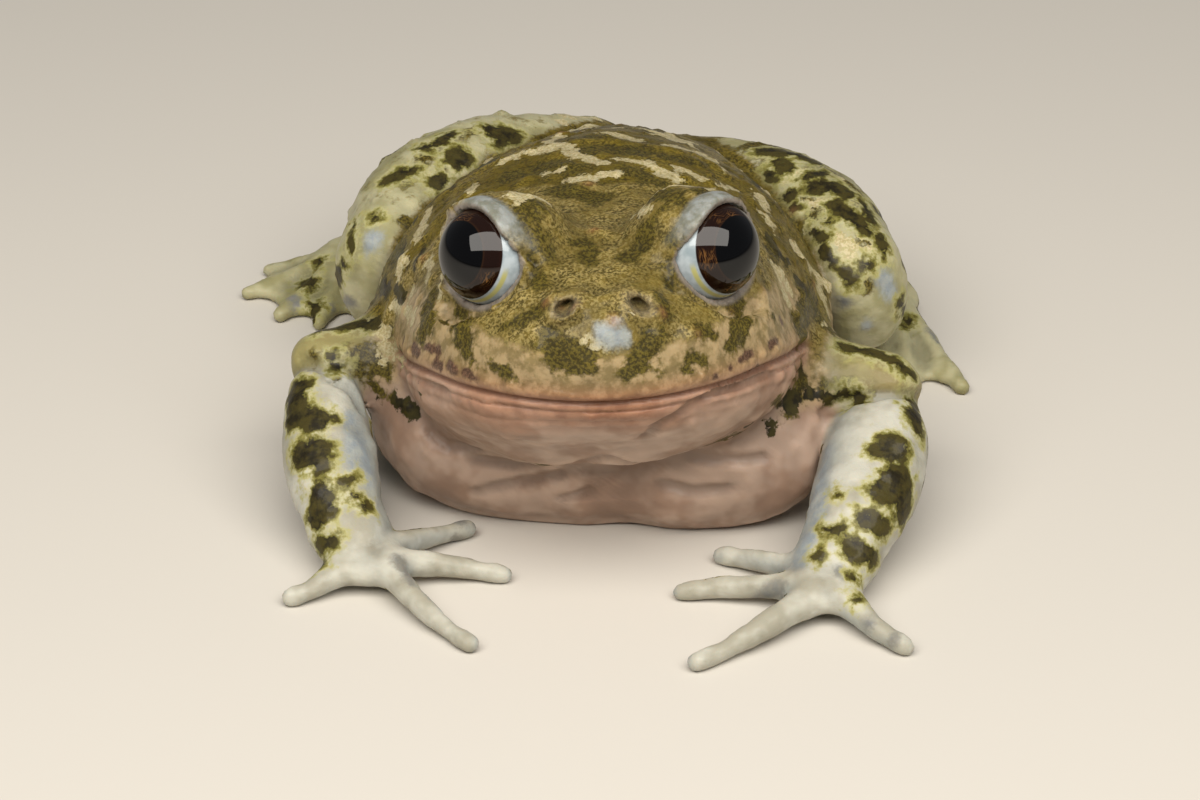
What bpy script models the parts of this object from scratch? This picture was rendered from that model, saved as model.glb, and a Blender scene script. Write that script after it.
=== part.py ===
# Eastern spadefoot (Pelobates syriacus): a life-size adult that sits with its belly on the ground and its head raised.
# The animal faces -Y, its left side is +X, and the floor is the plane Z = 0.
# Sizes and places are in millimetres, and MM turns them into Blender's metres.
# Limbs, eyes and feet are placed from the midpoint between the jaw corners, on the floor.

import math

import bmesh
import bpy
import numpy as np
from mathutils import Matrix, Vector

MM = 0.001
GAP = 0.3  # clearance between two parts that meet face to face
SIDES = ("left", "right")
ANIMAL_SHIFT = (0.1, -8.6, 0.0)  # from the jaw corners' midpoint to the middle of the whole animal

# Driving dimensions
SNOUT_VENT = 75.0
HEAD_LENGTH = 0.284 * SNOUT_VENT  # jaw corner to snout tip
HEAD_HALF_WIDTH = 0.209 * SNOUT_VENT  # at the jaw corners
HEAD_PITCH = math.radians(18.0)  # snout raised above level
HEAD_ROLL = math.radians(-1.5)
JAW_HEIGHT = 13.4  # jaw corners above the floor
EYE_RADIUS = 0.0535 * SNOUT_VENT
BODY_YAW = math.radians(6.0)  # rump swung towards the animal's left

# Head sections, front to back: share of head length, share of half width, then top, bottom and widest level in mm
HEAD_SECTIONS = (
    (1.020, 0.13, 4.6, 1.0, 2.8),
    (0.995, 0.27, 5.9, -0.6, 2.2),
    (0.930, 0.45, 7.0, -2.4, 1.2),
    (0.800, 0.66, 8.1, -4.7, 0.2),
    (0.620, 0.83, 9.3, -6.6, -0.4),
    (0.420, 0.94, 10.5, -8.4, -0.6),
    (0.210, 0.99, 11.6, -9.6, -0.6),
    (0.000, 1.00, 12.2, -10.2, -0.6),
    (-0.200, 0.97, 12.2, -10.0, -0.6),
    (-0.380, 0.84, 10.8, -8.6, -0.6),
    (-0.500, 0.55, 7.4, -6.0, -0.3),
)
HEAD_TIP = (1.032, 2.8)
HEAD_BACK = (-0.54, 0.3)
HEAD_FULLNESS = 2.15  # superellipse power of the sections, where 2 is a plain ellipse

# Torso sections, front to back: distance behind the jaw corners, half width, bottom and top above the floor
TORSO_SECTIONS = (
    (-9.6, 6.5, 3.4, 9.0),
    (-8.4, 12.2, 1.4, 11.2),
    (-6.5, 15.8, -0.4, 13.8),
    (-4.2, 17.6, -1.0, 16.4),
    (-1.6, 18.7, -1.0, 18.9),
    (3.0, 18.9, -1.0, 23.2),
    (9.0, 18.8, -1.0, 24.6),
    (15.0, 17.4, -1.0, 23.8),
    (22.0, 14.8, -1.0, 21.2),
    (29.0, 12.4, -0.9, 17.6),
    (35.0, 10.2, -0.5, 14.3),
    (40.0, 8.6, 0.4, 11.5),
    (43.5, 6.6, 1.6, 9.6),
    (45.6, 3.9, 3.4, 7.6),
)
TORSO_FRONT = (-10.2, 6.0)
TORSO_BACK = (46.6, 5.6)
TORSO_WIDEST = 0.42  # height of the widest level, as a share of the section
TORSO_FULLNESS = 2.1

# Eyes: across, forward and up from the jaw corners' midpoint in the head's own directions
EYE_PLACES = {"left": (8.6, 11.3, 9.0), "right": (8.1, 11.3, 9.0)}
EYE_TURN = math.radians(50.0)  # from straight ahead out to the side
EYE_LIFT = math.radians(20.0)
MOUND_RADIUS = 1.25 * EYE_RADIUS
MOUND_SINK = 0.42 * EYE_RADIUS  # the mound's centre lies this far behind the eyeball's
LID_RADIUS = 1.06 * EYE_RADIUS
LID_THICKNESS = 0.55
LID_AHEAD = 0.2 * EYE_RADIUS  # the lid's ring lies this far ahead of the eyeball's centre

# Mouth and nostrils, in the head's own directions
# The mouth's line from behind the jaw corner to the snout: share of head length, height
MOUTH_LINE = ((-0.05, -0.85), (0.15, -0.45), (0.56, 0.1), (0.80, -0.2), (0.94, -0.65), (1.05, -1.45))
MOUTH_GROOVE = 0.42
LIP_OFFSET = 1.1
LIP_RADIUS = 0.85
LIP_HEIGHT = 0.25  # how far the lips stand out from the head
NOSTRIL_MIDDLE = 0.45  # the pair's middle lies this far to the animal's left
NOSTRIL_PLACE = (2.8, 19.5, 6.35)
NOSTRIL_RADIUS = 0.5
NOSTRIL_RIM = 1.15
NOSTRIL_RIM_DROP = 0.75

# Arms: x, y, z, half width and half height at each joint
UPPER_ARM = {
    "left": ((11.0, 4.5, 9.8, 4.3, 4.3), (17.2, 0.4, 9.4, 3.7, 3.7), (22.6, -1.2, 9.3, 3.1, 3.1)),
    "right": ((-10.0, 6.5, 9.8, 4.3, 4.3), (-16.0, 3.8, 9.9, 3.6, 3.6), (-22.2, 1.8, 10.0, 2.8, 2.8)),
}
FOREARM = {
    "left": (
        (22.6, -4.0, 7.5, 3.1, 3.1),
        (22.0, -6.6, 6.8, 4.0, 3.7),
        (20.9, -11.0, 5.2, 4.1, 3.3),
        (18.8, -15.8, 3.1, 3.2, 2.2),
    ),
    "right": (
        (-22.3, -1.6, 8.5, 2.9, 2.9),
        (-21.9, -4.2, 7.3, 3.5, 3.4),
        (-21.2, -8.4, 5.2, 3.6, 3.1),
        (-19.8, -12.6, 3.1, 2.9, 2.2),
    ),
}
PALM = {
    "left": ((18.5, -16.0, 2.6, 2.9, 1.9), (17.3, -19.2, 1.8, 3.0, 1.5)),
    "right": ((-19.6, -12.8, 2.6, 2.8, 1.9), (-18.7, -15.3, 1.8, 2.8, 1.5)),
}
# Fingers from the inner one out: root and tip on the ground plan
FINGERS = {
    "left": (
        ((15.9, -17.4), (9.6, -12.6)),
        ((15.7, -19.4), (6.4, -17.9)),
        ((16.4, -20.4), (7.4, -28.0)),
        ((18.6, -20.0), (23.4, -25.8)),
    ),
    "right": (
        ((-16.6, -14.2), (-10.6, -8.6)),
        ((-16.2, -16.0), (-7.6, -15.4)),
        ((-16.7, -16.4), (-10.0, -25.4)),
        ((-19.6, -15.6), (-24.1, -18.8)),
    ),
}
FINGER_RADII = (1.3, 0.95)  # at the root and at the tip
FINGER_HEIGHT = 1.8
DIGIT_SINK = 0.25  # how far a digit's tip presses into the floor plane, which leaves its flat

# Legs: x, y, z, half width and half height at each joint
THIGH = {
    "left": (
        (4.8, 34.6, 7.6, 5.6, 5.8),
        (13.0, 29.0, 9.5, 6.0, 5.9),
        (17.8, 23.6, 10.2, 5.7, 5.7),
        (20.9, 16.8, 9.8, 4.6, 4.9),
    ),
    "right": (
        (-1.0, 36.4, 8.2, 5.6, 5.8),
        (-8.4, 32.2, 10.4, 6.1, 6.1),
        (-14.2, 26.4, 11.0, 5.8, 5.9),
        (-17.4, 19.6, 10.2, 4.6, 5.0),
    ),
}
SHANK = {
    "left": (
        (22.0, 16.4, 7.6, 3.3, 4.2),
        (22.2, 23.5, 6.0, 3.6, 4.4),
        (19.2, 32.0, 4.2, 3.2, 3.5),
        (14.4, 39.5, 3.0, 2.6, 2.7),
    ),
    "right": (
        (-18.6, 19.6, 8.0, 3.3, 4.2),
        (-18.4, 26.5, 6.2, 3.6, 4.4),
        (-14.4, 34.8, 4.4, 3.2, 3.5),
        (-8.6, 41.0, 3.0, 2.6, 2.7),
    ),
}
TARSUS = {
    "left": ((15.2, 40.4, 2.4, 2.3, 2.4), (21.0, 34.8, 2.1, 2.3, 2.2), (24.8, 27.6, 1.6, 2.6, 1.7)),
    "right": ((-9.0, 42.4, 2.4, 2.3, 2.4), (-16.0, 39.8, 2.1, 2.3, 2.2), (-22.0, 35.8, 1.6, 2.6, 1.7)),
}
# Toes from the inner one out: tips on the ground plan
TOE_TIPS = {
    "left": ((22.4, 21.6), (23.8, 17.6), (26.4, 14.4), (30.4, 14.2), (28.6, 20.0)),
    "right": ((-21.4, 28.0), (-24.2, 25.4), (-27.6, 26.8), (-30.6, 30.8), (-29.0, 35.0)),
}
TOE_RADII = (1.25, 0.95)
TOE_HEIGHT = 1.5
WEB_REACH = (0.92, 0.82)  # share of the toe's length that the web follows, at a toe and half way between two
WEB_TOP = 1.0

# Digging spade on the inner edge of each sole: length, width and height
SPADE_SIZE = (4.6, 1.3, 2.2)
SPADE_INWARD = 2.0
SPADE_BACK = -1.6
SPADE_LEVEL = 0.42  # height of the blade's middle, as a share of its height

# Thin cuts: the nape behind the jaw corners, and the fold between throat and chest above the floor
NAPE_BACK = 5.6
THROAT_HEIGHT = 8.4
CUT_WIDTHS = {"elbow": 14.0, "wrist": 8.0}
BODY_ANCHORS = {"head": (0.0, -8.0, 18.0), "torso": (2.0, 20.0, 8.0)}  # a point well inside each piece
FLOOR_SIZE = (140.0, 140.0, 10.0)

# Rings along a form and points round each ring
HEAD_RINGS = 30
TORSO_RINGS = 34
BODY_SIDES = 44

# Fused forms: voxel size in mm, smoothing passes, triangles kept
FUSE_BODY = (0.6, 6, 4000)
FUSE_ARM = (0.4, 4, 1050)
FUSE_FOOT = (0.4, 2, 700)

# Skin and eye finishes: base colour and roughness
FINISHES = {
    "head": ((0.26, 0.25, 0.13), 0.45),
    "torso": ((0.24, 0.25, 0.08), 0.5),
    "upper_arm": ((0.38, 0.38, 0.14), 0.45),
    "forearm": ((0.55, 0.55, 0.38), 0.4),
    "hand": ((0.60, 0.58, 0.46), 0.35),
    "thigh": ((0.36, 0.37, 0.18), 0.5),
    "shank": ((0.42, 0.42, 0.24), 0.5),
    "foot": ((0.52, 0.50, 0.33), 0.4),
    "spade": ((0.30, 0.22, 0.13), 0.3),
    "eye": ((0.02, 0.015, 0.01), 0.05),
}


def clear_scene():
    for obj in list(bpy.data.objects):
        bpy.data.objects.remove(obj)


def new_collection(name):
    made = bpy.data.collections.new(name)
    bpy.context.scene.collection.children.link(made)
    return made


def placed(point):
    # From the animal's own millimetres to metres in the scene.
    return (Vector(point) + Vector(ANIMAL_SHIFT)) * MM


def add_object(name, data, home):
    obj = bpy.data.objects.new(name, data)
    home.objects.link(obj)
    return obj


def object_from_bmesh(name, mesh, home):
    data = bpy.data.meshes.new(name)
    mesh.to_mesh(data)
    mesh.free()
    return add_object(name, data, home)


def as_cutter(obj):
    obj.hide_render = True
    obj.display_type = "WIRE"
    return obj


def bake(obj):
    # Puts an object's modifiers and place into its mesh.
    bpy.context.view_layer.update()
    graph = bpy.context.evaluated_depsgraph_get()
    data = bpy.data.meshes.new_from_object(obj.evaluated_get(graph))
    data.transform(obj.matrix_world)
    obj.modifiers.clear()
    obj.data = data
    obj.matrix_world = Matrix.Identity(4)
    return obj


def cut_away(obj, *cutters):
    for cutter in cutters:
        cut = obj.modifiers.new("cut", "BOOLEAN")
        cut.operation = "DIFFERENCE"
        cut.object = cutter
        bake(obj)
    return obj


def grown(obj, home):
    # A cutter that stands one gap out from the object all round.
    copy = add_object(f"around_{obj.name}", obj.data.copy(), home)
    swell = copy.modifiers.new("grow", "DISPLACE")
    swell.strength = GAP * MM
    swell.mid_level = 0.0
    return as_cutter(bake(copy))


def shells_of(mesh):
    # The separate closed surfaces of a bmesh, each a list of faces.
    left = set(mesh.faces)
    shells = []
    while left:
        queue = [left.pop()]
        shell = list(queue)
        while queue:
            for edge in queue.pop().edges:
                for face in edge.link_faces:
                    if face in left:
                        left.remove(face)
                        queue.append(face)
                        shell.append(face)
        shells.append(shell)
    return shells


def shell_volume(faces):
    total = 0.0
    for face in faces:
        first = face.verts[0].co
        for a, b in zip(face.verts[1:], face.verts[2:]):
            total += first.dot(a.co.cross(b.co)) / 6.0
    return total


def shell_middle(faces):
    return sum((face.calc_center_median() * face.calc_area() for face in faces), Vector()) / sum(
        face.calc_area() for face in faces
    )


def keep_shell(obj, worth):
    # Keeps the closed surface that is worth most and drops the others.
    mesh = bmesh.new()
    mesh.from_mesh(obj.data)
    shells = shells_of(mesh)
    best = max(shells, key=worth)
    for shell in shells:
        if shell is not best:
            bmesh.ops.delete(mesh, geom=shell, context="FACES")
    mesh.to_mesh(obj.data)
    mesh.free()
    return obj


def keep_largest(obj):
    return keep_shell(obj, shell_volume)


def split(obj, slabs, anchors, home):
    # Cuts a form by thin slabs, and makes each named piece from the large shell whose middle is nearest its anchor.
    cut_away(obj, *slabs)
    scrap = 1e-9  # cubic metres, under which a shell is no piece
    pieces = []
    for name, anchor in anchors.items():
        goal = placed(anchor)
        piece = add_object(name, obj.data.copy(), home)
        keep_shell(piece, lambda s: -(shell_middle(s) - goal).length if shell_volume(s) > scrap else -math.inf)
        pieces.append(piece)
    bpy.data.objects.remove(obj)
    return pieces


def fuse(name, pieces, fineness, home):
    # One smooth skin round a set of overlapping closed forms.
    voxel, passes, triangles = fineness
    joined = bmesh.new()
    for piece in pieces:
        joined.from_mesh(bake(piece).data)
        bpy.data.objects.remove(piece)
    obj = object_from_bmesh(name, joined, home)
    remesh = obj.modifiers.new("fuse", "REMESH")
    remesh.mode = "VOXEL"
    remesh.voxel_size = voxel * MM
    smooth = obj.modifiers.new("smooth", "SMOOTH")
    smooth.factor = 0.5
    smooth.iterations = passes
    bake(obj)
    thin = obj.modifiers.new("fewer faces", "DECIMATE")
    thin.ratio = triangles / (2 * len(obj.data.polygons))
    return keep_largest(bake(obj))


def curve_through(rows, count):
    # Catmull-Rom curve through the rows, read at count even steps.
    rows = np.asarray(rows, float)
    padded = np.vstack([2 * rows[0] - rows[1], rows, 2 * rows[-1] - rows[-2]])
    steps = np.linspace(0.0, len(rows) - 1.000001, count)
    first = steps.astype(int)
    t = (steps - first)[:, None]
    a, b, c, d = (padded[first + k] for k in range(4))
    return 0.5 * (2 * b + (c - a) * t + (2 * a - 5 * b + 4 * c - d) * t**2 + (3 * b - a - 3 * c + d) * t**3)


def oval(sides, half_width, rise, drop, fullness):
    # Superellipse ring as across and up values, with its own height above and below the widest level.
    angle = np.linspace(0.0, 2 * math.pi, sides, endpoint=False)
    across = np.sign(np.cos(angle)) * np.abs(np.cos(angle)) ** (2 / fullness) * half_width
    up = np.sign(np.sin(angle)) * np.abs(np.sin(angle)) ** (2 / fullness)
    return across, up * np.where(up > 0, rise, drop)


def loft(name, rings, start, end, home):
    # Skins a list of rings of points, and closes each end with a fan to a pole.
    mesh = bmesh.new()
    first, last = mesh.verts.new(placed(start)), mesh.verts.new(placed(end))
    rows = [[mesh.verts.new(placed(point)) for point in ring] for ring in rings]
    sides = len(rows[0])
    for i in range(sides):
        j = (i + 1) % sides
        mesh.faces.new((first, rows[0][j], rows[0][i]))
        mesh.faces.new((last, rows[-1][i], rows[-1][j]))
        for near, far in zip(rows, rows[1:]):
            mesh.faces.new((near[i], near[j], far[j], far[i]))
    bmesh.ops.recalc_face_normals(mesh, faces=mesh.faces)
    return object_from_bmesh(name, mesh, home)


def ball(name, centre, radius, home, segments=22):
    mesh = bmesh.new()
    place = Matrix.Translation(placed(centre))
    bmesh.ops.create_uvsphere(mesh, u_segments=segments, v_segments=segments // 2 + 1, radius=radius * MM, matrix=place)
    return object_from_bmesh(name, mesh, home)


def block(name, centre, size, home, along=(0.0, 0.0, 1.0)):
    # A box cutter whose own Z side lies along the given direction.
    mesh = bmesh.new()
    bmesh.ops.create_cube(mesh, size=1.0, matrix=Matrix.Diagonal((*(Vector(size) * MM), 1.0)))
    obj = object_from_bmesh(name, mesh, home)
    obj.rotation_euler = Vector(along).to_track_quat("Z", "Y").to_euler()
    obj.location = placed(centre)
    return as_cutter(bake(obj))


def tube(name, path, radius, home):
    # A round tube along a path, from a bevelled curve with its caps welded on.
    curve = bpy.data.curves.new(name, "CURVE")
    curve.dimensions = "3D"
    curve.bevel_depth = radius * MM
    curve.bevel_resolution = 1
    curve.use_fill_caps = True
    spline = curve.splines.new("POLY")
    spline.points.add(len(path) - 1)
    for point, place in zip(spline.points, path):
        point.co = (*placed(place), 1.0)
    guide = add_object(name, curve, home)
    graph = bpy.context.evaluated_depsgraph_get()
    data = bpy.data.meshes.new_from_object(guide.evaluated_get(graph))
    bpy.data.objects.remove(guide)
    mesh = bmesh.new()
    mesh.from_mesh(data)
    bmesh.ops.remove_doubles(mesh, verts=mesh.verts, dist=0.01 * MM)
    bmesh.ops.recalc_face_normals(mesh, faces=mesh.faces)
    return object_from_bmesh(name, mesh, home)


def limb(name, joints, home, count=12, sides=16):
    # A tube through the joints with oval sections and rounded ends.
    track = curve_through(joints, count)
    points = track[:, :3]
    along = np.gradient(points, axis=0)
    along /= np.linalg.norm(along, axis=1)[:, None]
    across = np.cross(along, (0.0, 0.0, 1.0))
    across /= np.linalg.norm(across, axis=1)[:, None]
    up = np.cross(across, along)
    angle = np.linspace(0.0, 2 * math.pi, sides, endpoint=False)
    wide = track[:, 3, None, None] * np.cos(angle)[None, :, None] * across[:, None, :]
    high = track[:, 4, None, None] * np.sin(angle)[None, :, None] * up[:, None, :]
    ovals = wide + high
    cap = track[[0, -1], 3:5].min(axis=1)
    shares = np.sin(np.radians((75.0, 50.0, 25.0)))
    rings = [points[0] - along[0] * cap[0] * s + ovals[0] * math.sqrt(1 - s * s) for s in shares]
    rings.extend(points[:, None, :] + ovals)
    rings.extend(points[-1] + along[-1] * cap[1] * s + ovals[-1] * math.sqrt(1 - s * s) for s in shares[::-1])
    return loft(name, rings, points[0] - along[0] * cap[0], points[-1] + along[-1] * cap[1], home)


def head_matrix():
    # Head axes: x to the animal's right, y forward out of the snout, z out of the crown.
    turn = Matrix.Rotation(math.pi, 4, "Z")
    pitch = Matrix.Rotation(-HEAD_PITCH, 4, "X")
    roll = Matrix.Rotation(HEAD_ROLL, 4, "Y")
    return np.array(Matrix.Translation((0.0, 0.0, JAW_HEIGHT)) @ roll @ pitch @ turn)


def in_head(across, forward, up):
    # Points across the head (towards the animal's left), forward and up, in the animal's own millimetres.
    frame = head_matrix()
    local = np.stack(np.broadcast_arrays(-np.asarray(across, float), forward, up), axis=-1)
    return local @ frame[:3, :3].T + frame[:3, 3]


def in_body(across, back, up):
    # The torso swings about the jaw corners' midpoint by the body's yaw.
    across, back, up = (np.asarray(v, float) for v in np.broadcast_arrays(across, back, up))
    x = across * math.cos(BODY_YAW) + back * math.sin(BODY_YAW)
    y = back * math.cos(BODY_YAW) - across * math.sin(BODY_YAW)
    return np.stack((x, y, up), axis=-1)


def head_rows(count):
    rows = [(f * HEAD_LENGTH, w * HEAD_HALF_WIDTH, top, bottom, level) for f, w, top, bottom, level in HEAD_SECTIONS]
    return curve_through(rows, count)


def head_core(home):
    rings = []
    for forward, half_width, top, bottom, level in head_rows(HEAD_RINGS):
        across, up = oval(BODY_SIDES, half_width, top - level, level - bottom, HEAD_FULLNESS)
        rings.append(in_head(across, forward, up + level))
    tip = in_head(0.0, HEAD_TIP[0] * HEAD_LENGTH, HEAD_TIP[1])
    back = in_head(0.0, HEAD_BACK[0] * HEAD_LENGTH, HEAD_BACK[1])
    return loft("head_core", rings, tip, back, home)


def torso_core(home):
    rings = []
    for back, half_width, bottom, top in curve_through(TORSO_SECTIONS, TORSO_RINGS):
        level = bottom + TORSO_WIDEST * (top - bottom)
        across, up = oval(BODY_SIDES, half_width, top - level, level - bottom, TORSO_FULLNESS)
        rings.append(in_body(across, back, up + level))
    front = in_body(0.0, TORSO_FRONT[0], TORSO_FRONT[1])
    back = in_body(0.0, TORSO_BACK[0], TORSO_BACK[1])
    return loft("torso_core", rings, front, back, home)


def lip_line(offset, sink, count=56):
    # The line where the head's surface meets the mouth's level, moved up or down by offset and sunk into the head.
    forward, half_width, top, bottom, level = head_rows(400).T
    height = np.interp(forward / HEAD_LENGTH, *np.transpose(MOUTH_LINE)) + offset
    below = (level - height) / np.where(height < level, level - bottom, level - top)
    found = (forward > MOUTH_LINE[0][0] * HEAD_LENGTH) & (below < 1.0)
    across = (half_width * np.clip(1.0 - np.abs(below) ** HEAD_FULLNESS, 0.0, 1.0) ** (1 / HEAD_FULLNESS))[found]
    side = np.stack((np.maximum(across - sink, 0.0), forward[found] - sink * (across < sink), height[found]), axis=-1)
    whole = np.vstack([side[::-1], side * (-1.0, 1.0, 1.0)])
    length = np.concatenate([[0.0], np.cumsum(np.linalg.norm(np.diff(whole, axis=0), axis=1))])
    even = np.linspace(0.0, length[-1], count)
    return in_head(*(np.interp(even, length, whole[:, k]) for k in range(3)))


def eye_axis(side):
    sign = 1.0 if side == "left" else -1.0
    flat = math.cos(EYE_LIFT)
    return Vector((sign * math.sin(EYE_TURN) * flat, -math.cos(EYE_TURN) * flat, math.sin(EYE_LIFT)))


def eye_centre(side):
    across, forward, up = EYE_PLACES[side]
    return Vector(in_head(across if side == "left" else -across, forward, up))


def lid(side, home):
    bpy.ops.mesh.primitive_torus_add(
        major_radius=LID_RADIUS * MM, minor_radius=LID_THICKNESS * MM, major_segments=36, minor_segments=10
    )
    ring = bpy.context.object
    for old in list(ring.users_collection):
        old.objects.unlink(ring)
    home.objects.link(ring)
    axis = eye_axis(side)
    ring.location = placed(eye_centre(side) + axis * LID_AHEAD)
    ring.rotation_euler = axis.to_track_quat("Z", "Y").to_euler()
    return ring


def nostril_places():
    across, forward, up = NOSTRIL_PLACE
    return [in_head(NOSTRIL_MIDDLE + sign * across, forward, up) for sign in (1.0, -1.0)]


def body_form(home):
    # Head and torso in one skin, with the mounds that hold the eyes, the lids, the lips and the nostrils' rims.
    pieces = [head_core(home), torso_core(home)]
    for side in SIDES:
        pieces.append(ball("mound", eye_centre(side) - eye_axis(side) * MOUND_SINK, MOUND_RADIUS, home))
        pieces.append(lid(side, home))
    for offset in (LIP_OFFSET, -LIP_OFFSET):
        pieces.append(tube("lip", lip_line(offset, LIP_RADIUS - LIP_HEIGHT), LIP_RADIUS, home))
    for place in nostril_places():
        pieces.append(ball("rim", Vector(place) - Vector((0.0, 0.0, NOSTRIL_RIM_DROP)), NOSTRIL_RIM, home))
    return fuse("body", pieces, FUSE_BODY, home)


def digit(name, root, tip, radii, root_height, home):
    # A finger or toe: it leaves the palm a little raised and comes down on its tip.
    root, tip = Vector(root), Vector(tip)
    middle = root.lerp(tip, 0.5)
    half = 0.5 * sum(radii)
    joints = (
        (root.x, root.y, root_height, radii[0], radii[0]),
        (middle.x, middle.y, 0.5 * root_height + 0.6, half, half),
        (tip.x, tip.y, radii[1] - DIGIT_SINK, radii[1], radii[1]),
    )
    return limb(name, joints, home, count=10, sides=14)


def arm_form(side, home):
    pieces = [limb("upper", UPPER_ARM[side], home), limb("fore", FOREARM[side], home), limb("palm", PALM[side], home)]
    for root, tip in FINGERS[side]:
        pieces.append(digit("finger", root, tip, FINGER_RADII, FINGER_HEIGHT, home))
    return fuse(f"arm_{side}", pieces, FUSE_ARM, home)


def web(side, home):
    # A flat fan between the toes whose edge dips between each pair.
    root = Vector(TARSUS[side][-1][:2])
    tips = [Vector(tip) for tip in TOE_TIPS[side]]
    edge = [root, root.lerp(tips[0], WEB_REACH[0])]
    for first, second in zip(tips, tips[1:]):
        edge.append(root.lerp(first.lerp(second, 0.5), WEB_REACH[1]))
        edge.append(root.lerp(second, WEB_REACH[0]))
    mesh = bmesh.new()
    sole = mesh.faces.new([mesh.verts.new(placed((*point, -DIGIT_SINK))) for point in edge])
    raised = bmesh.ops.extrude_face_region(mesh, geom=[sole])
    for item in raised["geom"]:
        if isinstance(item, bmesh.types.BMVert):
            item.co.z = WEB_TOP * MM
    bmesh.ops.triangulate(mesh, faces=mesh.faces)
    bmesh.ops.recalc_face_normals(mesh, faces=mesh.faces)
    return object_from_bmesh("web", mesh, home)


def foot_form(side, home):
    pieces = [limb("tarsus", TARSUS[side], home), web(side, home)]
    root = TARSUS[side][-1][:2]
    for tip in TOE_TIPS[side]:
        pieces.append(digit("toe", root, tip, TOE_RADII, TOE_HEIGHT, home))
    return fuse(f"foot_{side}", pieces, FUSE_FOOT, home)


def spade(side, home):
    # A half-moon blade along the inner edge of the sole, just behind the first toe.
    heel, root = (Vector(TARSUS[side][k][:2]) for k in (1, 2))
    along = (root - heel).normalized()
    inward = Vector((-along.y, along.x)) * (-1.0 if side == "left" else 1.0)
    place = root - along * SPADE_BACK + inward * SPADE_INWARD
    mesh = bmesh.new()
    bmesh.ops.create_uvsphere(mesh, u_segments=16, v_segments=9, radius=0.5 * MM)
    blade = object_from_bmesh(f"spade_{side}", mesh, home)
    blade.scale = SPADE_SIZE
    blade.rotation_euler.z = math.atan2(along.y, along.x)
    blade.location = placed((*place, SPADE_LEVEL * SPADE_SIZE[2]))
    return bake(blade)


def elbow_and_wrist(side, cutters):
    # Thin slabs across the arm: the elbow's halves the bend, the wrist's is square to the forearm.
    elbow, wrist = Vector(FOREARM[side][0][:3]), Vector(PALM[side][0][:3])
    upper = (elbow - Vector(UPPER_ARM[side][1][:3])).normalized()
    fore = (Vector(FOREARM[side][1][:3]) - elbow).normalized()
    reach = wrist - Vector(FOREARM[side][2][:3])
    return (
        block("elbow", elbow, (CUT_WIDTHS["elbow"], CUT_WIDTHS["elbow"], GAP), cutters, upper + fore),
        block("wrist", wrist, (CUT_WIDTHS["wrist"], CUT_WIDTHS["wrist"], GAP), cutters, reach),
    )


def make_arm(side, floor, around_body, home, cutters):
    arm = cut_away(arm_form(side, home), floor, around_body)
    anchors = {
        f"upper_arm_{side}": UPPER_ARM[side][1][:3],
        f"forearm_{side}": FOREARM[side][1][:3],
        f"hand_{side}": PALM[side][1][:3],
    }
    split(arm, elbow_and_wrist(side, cutters), anchors, home)


def make_leg(side, floor, around_body, home, cutters):
    thigh = keep_largest(cut_away(limb(f"thigh_{side}", THIGH[side], home), around_body))
    around_thigh = grown(thigh, cutters)
    shank = cut_away(limb(f"shank_{side}", SHANK[side], home), floor, around_body, around_thigh)
    around_shank = grown(keep_largest(shank), cutters)
    blade = keep_largest(cut_away(spade(side, home), floor, around_shank))
    around_blade = grown(blade, cutters)
    foot = foot_form(side, home)
    keep_largest(cut_away(foot, floor, around_body, around_thigh, around_shank, around_blade))


def make_eye(side, body, home, cutters):
    ball(f"eye_{side}", eye_centre(side), EYE_RADIUS, home)
    socket = as_cutter(ball("socket", eye_centre(side), EYE_RADIUS + GAP, cutters))
    cut_away(body, socket)


def make_head_and_torso(body, home, cutters):
    groove = as_cutter(tube("groove", lip_line(0.0, 0.0), MOUTH_GROOVE, cutters))
    pits = [as_cutter(ball("pit", place, NOSTRIL_RADIUS, cutters, segments=12)) for place in nostril_places()]
    cut_away(body, groove, *pits)
    tall, wide = 40.0, 60.0
    nape = block("nape", (0.0, NAPE_BACK, THROAT_HEIGHT + (tall - GAP) / 2), (wide, GAP, tall), cutters)
    throat = block("throat", (0.0, NAPE_BACK - (tall - GAP) / 2, THROAT_HEIGHT), (wide, tall, GAP), cutters)
    split(body, (nape, throat), BODY_ANCHORS, home)


def finish(home):
    # Gives every part its own smooth-shaded material.
    for obj in home.objects:
        kind = obj.name.replace("_left", "").replace("_right", "")
        colour, roughness = FINISHES[kind]
        material = bpy.data.materials.new(f"{obj.name}_finish")
        material.use_nodes = True
        shader = material.node_tree.nodes["Principled BSDF"]
        shader.inputs["Base Color"].default_value = (*colour, 1.0)
        shader.inputs["Roughness"].default_value = roughness
        shader.inputs["Metallic"].default_value = 0.0
        obj.data.materials.clear()
        obj.data.materials.append(material)
        obj.data.shade_smooth()
        obj.data.set_sharp_from_angle(angle=math.radians(45.0))


def main():
    clear_scene()
    home = new_collection("eastern_spadefoot")
    cutters = new_collection("cutters")
    floor = block("floor", (0.0, 0.0, -FLOOR_SIZE[2] / 2), FLOOR_SIZE, cutters)
    body = cut_away(body_form(home), floor)
    around_body = grown(body, cutters)
    for side in SIDES:
        make_arm(side, floor, around_body, home, cutters)
        make_leg(side, floor, around_body, home, cutters)
        make_eye(side, body, home, cutters)
    make_head_and_torso(body, home, cutters)
    for cutter in list(cutters.objects):
        bpy.data.objects.remove(cutter)
    finish(home)


main()
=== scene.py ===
# Eastern spadefoot: one skin over the whole body, two eyes and two digging spades.
# The animal's own millimetres start on the floor, midway between the jaw corners.
# +x is its left side and -y is its front.
import math

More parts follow.
